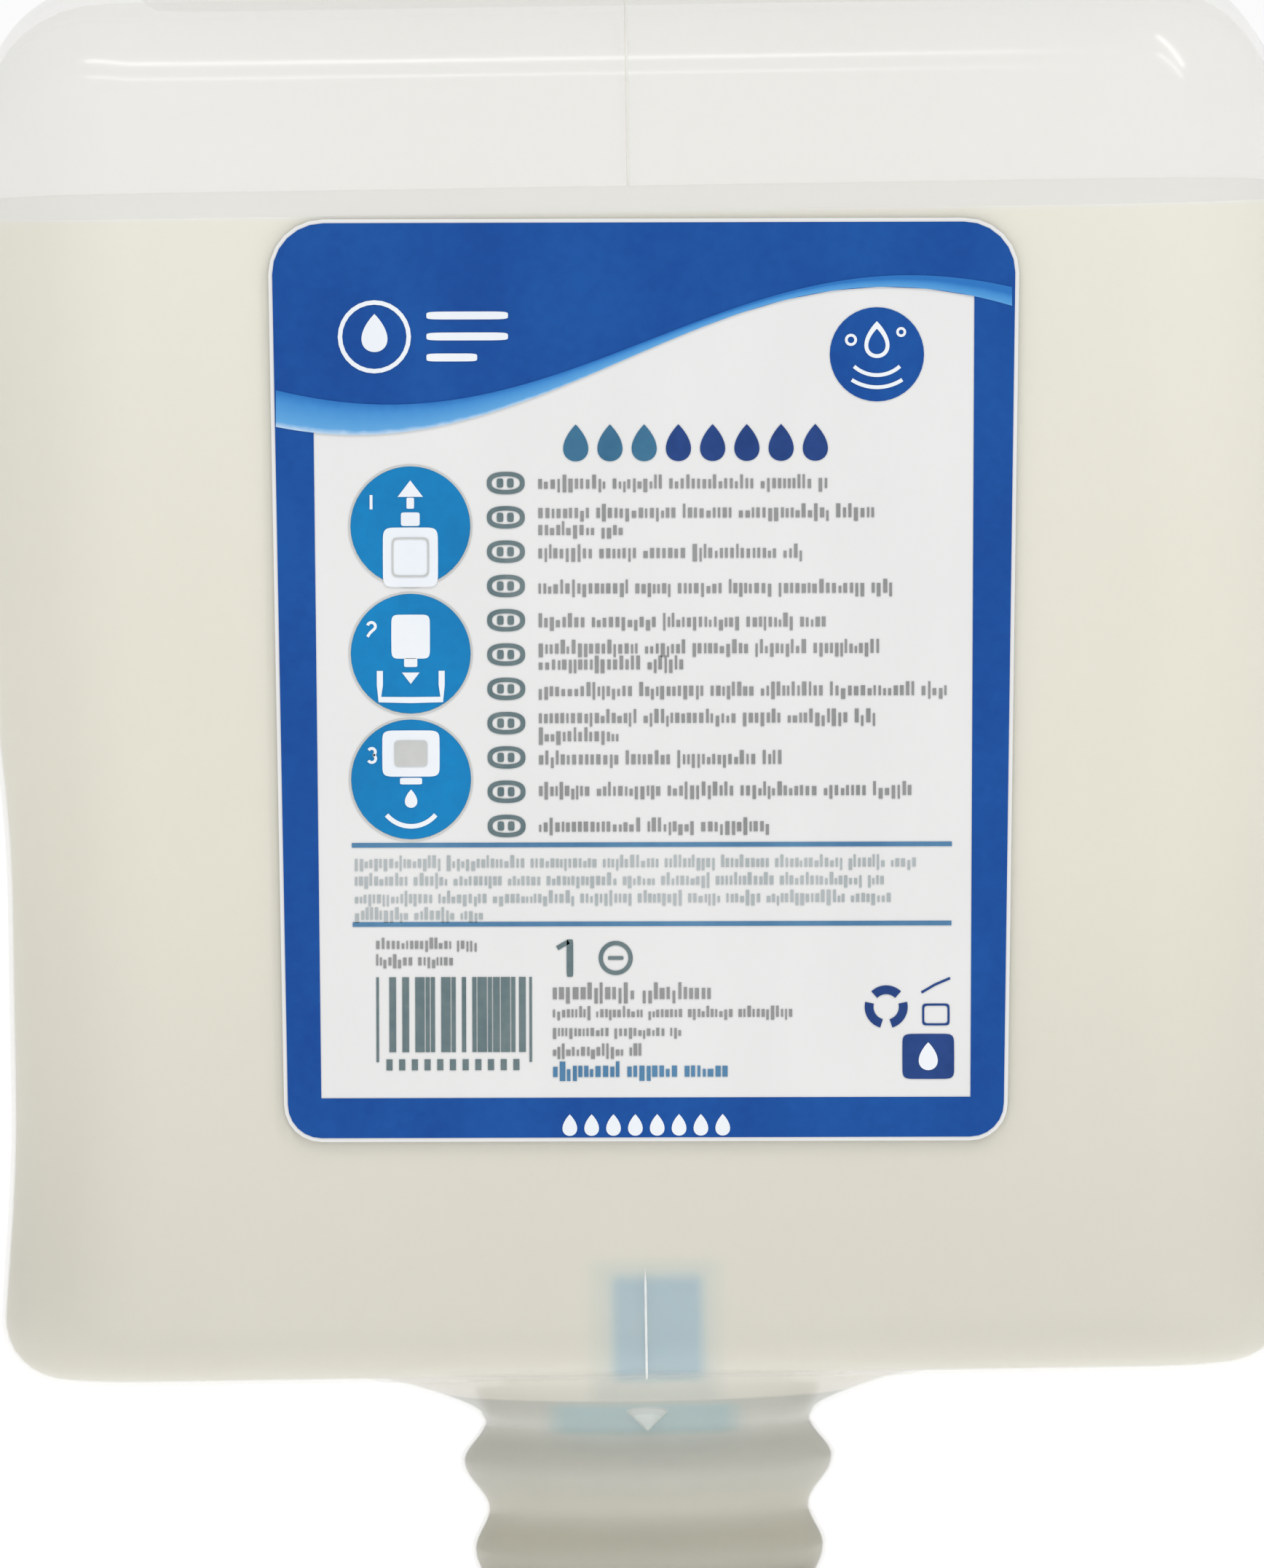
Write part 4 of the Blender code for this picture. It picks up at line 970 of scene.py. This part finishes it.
def put_blocks(name, blocks, material):
    """Small flat boxes of the first coat, from an array of (left, low, right, high) in label mm."""
    blocks = np.asarray(blocks)
    left, low, right, high = blocks.T
    corners = np.stack([
        np.stack([left, low], -1), np.stack([right, low], -1),
        np.stack([right, high], -1), np.stack([left, high], -1),
    ], axis=1)
    near_y, far_y = coat_depths(1)
    points = np.concatenate([label_world(corners, near_y), label_world(corners, far_y)], axis=1)
    pattern = np.array([
        [0, 1, 2, 3], [7, 6, 5, 4], [1, 0, 4, 5], [2, 1, 5, 6], [3, 2, 6, 7], [0, 3, 7, 4],
    ])
    faces = (np.arange(len(blocks)) * 8)[:, None, None] + pattern[None]
    piece = put_mesh(name, points, faces.reshape(-1, 4).tolist(), material, 30)
    face_outwards(piece)
    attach(piece, "pack")
    return piece


lines = [word_blocks(40 + i, ROW_LEFT, right, up, 1.25) for i, (up, right) in enumerate(ROWS)]
lines += [word_blocks(*row) for row in FOOT_ROWS]
put_blocks("label_text_rows", np.concatenate(lines), text_grey)
faint = [
    word_blocks(90 + i, FAINT_LEFT, right, up, 1.1) for i, (up, right) in enumerate(FAINT_ROWS)
]
put_blocks("label_faint_rows", np.concatenate(faint), faint_grey)
blue_row = word_blocks(95, -8.4, 7.4, -35.4, 1.4, 1.2)
put_blocks("label_blue_row", blue_row, rule_blue)

# Bar field: upright bars of several widths, printed in slate ink in the lower left corner of the
# panel, with a row of small ticks below them.
BAR_LEFT, BAR_RIGHT = -24.4, -10.3
BAR_LOW, BAR_HIGH = -34.6, -26.9


def bar_blocks():
    """Bars of 1 to 3 modules, 60 modules in all; the guard bars at both ends reach lower."""
    draw = np.random.default_rng(7)
    module = (BAR_RIGHT - BAR_LEFT) / 60
    widths = draw.choice([1, 1, 2, 3], 40)
    edges = BAR_LEFT + np.concatenate([[0], np.cumsum(widths)]) * module
    left, right = edges[:-1:2], edges[1::2] + 0.6 * module
    keep = right < BAR_RIGHT - 2 * module
    left, right = left[keep], right[keep]
    low = np.full(len(left), BAR_LOW + 0.9)
    bars = np.stack([left, low, right, np.full(len(left), BAR_HIGH)], axis=-1)
    guards = np.array([
        [BAR_LEFT, BAR_LOW, BAR_LEFT + module, BAR_HIGH],
        [BAR_RIGHT - module, BAR_LOW, BAR_RIGHT, BAR_HIGH],
    ])
    start = BAR_LEFT + 0.9 + np.arange(11) * 1.15
    foot = np.full(len(start), BAR_LOW)
    ticks = np.stack([start, foot - 0.75, start + 0.55, foot + 0.25], axis=-1)
    return np.concatenate([bars[bars[:, 0] > BAR_LEFT + module * 1.5], guards, ticks])


bars = put_blocks("bar_field_print", bar_blocks(), slate)
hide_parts("label_bar_field")

# Ovals, rims and drops: an oval before each line of the text, a pale rim round each disc, and
# rows of drops for the heading and in the foot of the frame. All are flat coats of ink.
OVAL_ACROSS = -12.55
OVAL_TOP = 17.9
OVAL_STEP = 3.11
OVAL_COUNT = 11


def loop(centre, half, points=48, power=2.0):
    """Closed curve centre + half * (cos a, sin a), squared off where power is above 2."""
    angle = np.linspace(0, 2 * math.pi, points, endpoint=False)
    c, s = np.cos(angle), np.sin(angle)
    x = np.sign(c) * np.abs(c) ** (2 / power)
    y = np.sign(s) * np.abs(s) ** (2 / power)
    return np.stack([centre[0] + half[0] * x, centre[1] + half[1] * y], axis=-1)


def hoop(centre, outer, inner, points=48):
    """Round ring, as its outer and inner outline."""
    return loop(centre, (outer, outer), points), loop(centre, (inner, inner), points)


def drop_loop(centre, radius, points=48):
    """Drop: x = r sin a sin(a/2)^0.9 and y = 1.15 r (0.25 + cos a), with its tip upwards."""
    angle = np.linspace(0, 2 * math.pi, points, endpoint=False)
    x = radius * np.sin(angle) * np.sin(angle / 2) ** 0.9
    y = radius * (0.25 + np.cos(angle)) * 1.15
    return np.stack([centre[0] + x, centre[1] + y], axis=-1)


def put_patches(name, layer, material, filled=(), open_rings=()):
    """Flat shapes of one coat: filled outlines, and rings between two outlines of equal count."""
    near_y, far_y = coat_depths(layer)
    points, faces, start = [], [], 0
    for outline in filled:
        count = len(outline)
        points += [label_world(outline, near_y), label_world(outline, far_y)]
        turn = np.arange(count)
        after = (turn + 1) % count
        faces.append((start + turn).tolist())
        faces.append((start + count + turn[::-1]).tolist())
        side = np.stack([after, turn, turn + count, after + count], axis=-1) + start
        faces += side.tolist()
        start += 2 * count
    for outer, inner in open_rings:
        count = len(outer)
        points += [label_world(part, y) for y in (near_y, far_y) for part in (outer, inner)]
        turn = np.arange(count)
        after = (turn + 1) % count
        rows = [turn, turn + count, turn + 3 * count, turn + 2 * count]
        following = [after, after + count, after + 3 * count, after + 2 * count]
        for k in range(4):
            n = (k + 1) % 4
            quad = np.stack([rows[k], following[k], following[n], rows[n]], axis=-1) + start
            faces += quad.tolist()
        start += 4 * count
    piece = put_mesh(name, np.concatenate(points), faces, material, 30)
    face_outwards(piece)
    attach(piece, "pack")
    return piece


ovals, windows = [], []
for index in range(OVAL_COUNT):
    centre = (OVAL_ACROSS, OVAL_TOP - OVAL_STEP * index)
    ovals.append((loop(centre, (1.72, 1.02), power=2.5), loop(centre, (1.28, 0.62), power=2.5)))
    for side_step in (-0.52, 0.42):
        windows.append(loop((centre[0] + side_step, centre[1]), (0.30, 0.42), 16, 4.0))
put_patches("label_oval_rings", 1, slate, windows, ovals)

DISC_ACROSS = -21.2
DISCS = ((DISC_ACROSS, 14.0), (DISC_ACROSS, 2.45), (DISC_ACROSS, -8.95))
rims = [hoop(centre, 5.62, 5.44, 96) for centre in DISCS]
put_patches("label_disc_rims", 1, pale_rim, (), rims)

heading = [drop_loop((-6.2 + 3.1 * i, 21.1), 1.45) for i in range(8)]
put_patches("label_heading_steel", 1, steel, heading[:3])
heading_navy = put_patches("label_heading_navy", 1, navy, heading[3:])
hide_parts("label_heading_bar")
banner = [drop_loop((-6.9 + 1.98 * i, -40.6), 0.85, 24) for i in range(8)]
put_patches("label_banner_drops", 2, white_ink, banner)

# Pictures and signs: plain white shapes on the three discs and the round mark, numerals, an emblem
# of a ring, a drop and bars on the blue field, and small signs at the label's foot.


def band_outline(path, width):
    """Closed outline of a line of even width: each point moves half the width to either side."""
    path = np.asarray(path, dtype=float)
    along = np.gradient(path, axis=0)
    along /= np.linalg.norm(along, axis=1)[:, None]
    aside = np.stack([-along[:, 1], along[:, 0]], axis=-1) * width / 2
    return np.concatenate([path + aside, (path - aside)[::-1]])


def arc(centre, radius, start, end, points=24):
    """Points centre + r (cos a, sin a) with a from start to end in degrees."""
    angle = np.radians(np.linspace(start, end, points))
    flat = np.stack([np.cos(angle), np.sin(angle)], axis=-1)
    return np.asarray(centre) + radius * flat


def slab(centre, half, power=8.0, points=32):
    """Rectangle with slightly rounded corners, as a loop of high power."""
    return loop(centre, half, points, power)


def pointer(centre, size, facing):
    """Arrow head as a triangle of the given size, that points up (1) or down (-1)."""
    x, y = centre
    return np.array([
        (x - size, y - facing * size * 0.5), (x + size, y - facing * size * 0.5),
        (x, y + facing * size * 0.8),
    ])[::facing]


def numeral(digit, centre, height, width):
    """Outline of 1, 2 or 3: straight strokes and arcs, scaled to a height."""
    x, y = centre
    h = height / 2
    if digit == 1:
        path = np.array([(x, y + h), (x, y + h * 0.3), (x, y - h * 0.3), (x, y - h)])
    elif digit == 2:
        bow = arc((x, y + h * 0.45), h * 0.55, 165, -35, 14)
        path = np.concatenate([bow, [(x - h * 0.2, y - h * 0.45), (x - h * 0.55, y - h)]])
    else:
        upper = arc((x, y + h * 0.47), h * 0.5, 150, -70, 12)
        lower = arc((x, y - h * 0.45), h * 0.55, 70, -150, 12)
        path = np.concatenate([upper, lower])
    return band_outline(path, width)


HOLDER = (
    (-24.0, 0.9), (-24.0, -0.4), (-24.0, -1.7), (DISC_ACROSS, -1.75),
    (-18.4, -1.7), (-18.4, -0.4), (-18.4, 0.9),
)
pictures = [
    slab((DISC_ACROSS, 11.2), (2.5, 2.7)),
    slab((DISC_ACROSS, 14.65), (0.85, 0.62)),
    pointer((DISC_ACROSS, 17.25), 1.15, 1),
    slab((DISC_ACROSS, 16.1), (0.34, 0.5)),
    slab((DISC_ACROSS, 4.0), (1.75, 2.0)),
    slab((DISC_ACROSS, 1.65), (0.6, 0.4)),
    pointer((DISC_ACROSS, 0.35), 0.8, -1),
    band_outline(HOLDER, 0.55),
    slab((DISC_ACROSS, -6.6), (2.6, 2.1)),
    slab((DISC_ACROSS, -9.1), (1.0, 0.3)),
    drop_loop((DISC_ACROSS, -10.9), 0.72, 24),
    band_outline(arc((DISC_ACROSS, -10.3), 2.9, 220, 320), 0.42),
]
for digit, (across, up) in enumerate(DISCS, start=1):
    pictures.append(numeral(digit, (across - 3.55, up + 2.2), 1.3, 0.26))
put_patches("label_pictures", 2, white_ink, pictures)

window = slab((DISC_ACROSS, -6.6), (1.5, 1.2))
frames = [(slab((DISC_ACROSS, 11.2), (1.7, 1.8)), slab((DISC_ACROSS, 11.2), (1.55, 1.65)))]
put_patches("label_picture_lines", 3, pale_rim, [window], frames)

EMBLEM = (-24.4, 31.2)
emblem = [drop_loop((EMBLEM[0], EMBLEM[1] - 0.1), 1.5)]
for row, reach in enumerate((7.4, 7.4, 4.6)):
    centre = (EMBLEM[0] + 4.7 + reach / 2, EMBLEM[1] + 1.9 - 1.9 * row)
    emblem.append(slab(centre, (reach / 2, 0.36), 6.0))
put_patches("label_emblem", 2, white_ink, emblem)

MARK = (21.1, 29.5)
ripples = [
    band_outline(arc((MARK[0], MARK[1] + 1.2), 3.1, 228, 312), 0.34),
    band_outline(arc((MARK[0], MARK[1] + 1.2), 4.2, 237, 303), 0.34),
]
drops = [
    (drop_loop((MARK[0], MARK[1] + 0.9), 1.45), drop_loop((MARK[0], MARK[1] + 0.86), 1.0)),
    hoop((MARK[0] - 2.35, MARK[1] + 1.3), 0.55, 0.3, 24),
    hoop((MARK[0] + 2.2, MARK[1] + 2.0), 0.45, 0.22, 24),
]
put_patches("label_mark_drop", 2, white_ink, ripples, drops)

amount = [
    band_outline([(-8.0, -24.3), (-7.5, -24.0), (-6.95, -23.7)], 0.42),
    slab((-6.85, -25.2), (0.3, 1.7)),
    slab((-2.7, -25.2), (0.7, 0.17)),
]
put_patches("label_amount", 1, slate, amount, [hoop((-2.7, -25.2), 1.55, 1.15)])

signs = [
    band_outline(arc((21.8, -29.7), 1.55, start, start + 88), 0.8) for start in (46, 166, 286)
]
signs += [
    band_outline([(25.0, -28.4), (26.2, -27.7), (27.6, -27.1)], 0.22),
    slab((25.6, -34.2), (2.35, 2.05)),
]
frames = [(slab((26.3, -30.4), (1.25, 1.0)), slab((26.3, -30.4), (1.05, 0.8)))]
put_patches("label_signs", 1, navy, signs, frames)
sign_drop = drop_loop((25.6, -34.5), 1.1, 32)
put_patches("label_sign_drop", 2, white_ink, [sign_drop])

# Stage: a pale floor, soft light from all round, two narrow lamps for the highlights, and the
# camera in front of the pack, a little above it. None of it is part of the pack.
FLOOR_REACH = 20
FLOOR_GLOW = 0.49
ROOM_GLOW = 0.60
LIGHT_AIM = (0.0, 0.0, 0.12)
LIGHT_DISTANCE = 2.0
CAMERA_DISTANCE = 3.5
CAMERA_RISE = math.radians(2.5)
CAMERA_AIM = (-0.0005, 0.0, 0.0952)
CAMERA_LENS = 880.0
CAMERA_ROLL = math.radians(-0.9)

floor_mesh = bpy.data.meshes.new("floor")
corners = [(FLOOR_REACH * x, FLOOR_REACH * y, 0) for x, y in ((-1, -1), (1, -1), (1, 1), (-1, 1))]
floor_mesh.from_pydata(corners, [], [(0, 1, 2, 3)])
floor = bpy.data.objects.new("floor", floor_mesh)
bpy.context.scene.collection.objects.link(floor)
material, tree, output = new_tree("studio floor")
paper = mottle(tree, 3.0)
tone = ramp(tree, paper, ((0.3, (0.78, 0.78, 0.78)), (0.7, (0.80, 0.80, 0.80))))
matt = add_node(tree, "BsdfDiffuse", Color=tone)
glow = add_node(tree, "Emission", Color=(1.0, 1.0, 1.0, 1.0), Strength=FLOOR_GLOW)
both = add_node(tree, "AddShader", i0=matt.outputs[0], i1=glow.outputs[0])
tree.links.new(both.outputs[0], output.inputs["Surface"])
floor_mesh.materials.append(material)

world = bpy.data.worlds.new("studio")
world.use_nodes = True
bpy.context.scene.world = world
tree = world.node_tree
tree.nodes.clear()
surround = add_node(tree, "Background", Color=(1.0, 1.0, 1.0, 1.0), Strength=ROOM_GLOW)
output = tree.nodes.new("ShaderNodeOutputWorld")
tree.links.new(surround.outputs[0], output.inputs["Surface"])


def put_light(name, azimuth, elevation, size, power):
    """Area light aimed at the pack's middle. Azimuth 0 is in front, positive to the right."""
    lamp = bpy.data.lights.new(name, "AREA")
    lamp.shape = "RECTANGLE"
    lamp.size, lamp.size_y = size
    lamp.energy = power
    item = bpy.data.objects.new(name, lamp)
    bpy.context.scene.collection.objects.link(item)
    a, e = math.radians(azimuth), math.radians(elevation)
    away = np.array([math.sin(a) * math.cos(e), -math.cos(a) * math.cos(e), math.sin(e)])
    item.location = np.array(LIGHT_AIM) + away * LIGHT_DISTANCE
    item.rotation_euler = (math.radians(90) - e, 0.0, a)


put_light("strip_light", -25.0, 57.8, (1.1, 0.08), 8.5)
put_light("corner_light", 52.0, 49.0, (0.05, 1.1), 10.0)

camera_data = bpy.data.cameras.new("camera")
camera_data.lens = CAMERA_LENS
camera_data.sensor_width = 36.0
camera_data.clip_end = 60.0
camera = bpy.data.objects.new("camera", camera_data)
bpy.context.scene.collection.objects.link(camera)
camera.location = (
    CAMERA_AIM[0],
    CAMERA_AIM[1] - CAMERA_DISTANCE * math.cos(CAMERA_RISE),
    CAMERA_AIM[2] + CAMERA_DISTANCE * math.sin(CAMERA_RISE),
)
camera.rotation_euler = (math.radians(90) - CAMERA_RISE, 0.0, 0.0)
camera.rotation_euler.rotate_axis("Z", CAMERA_ROLL)
bpy.context.scene.camera = camera
bpy.context.scene.view_settings.view_transform = "Standard"
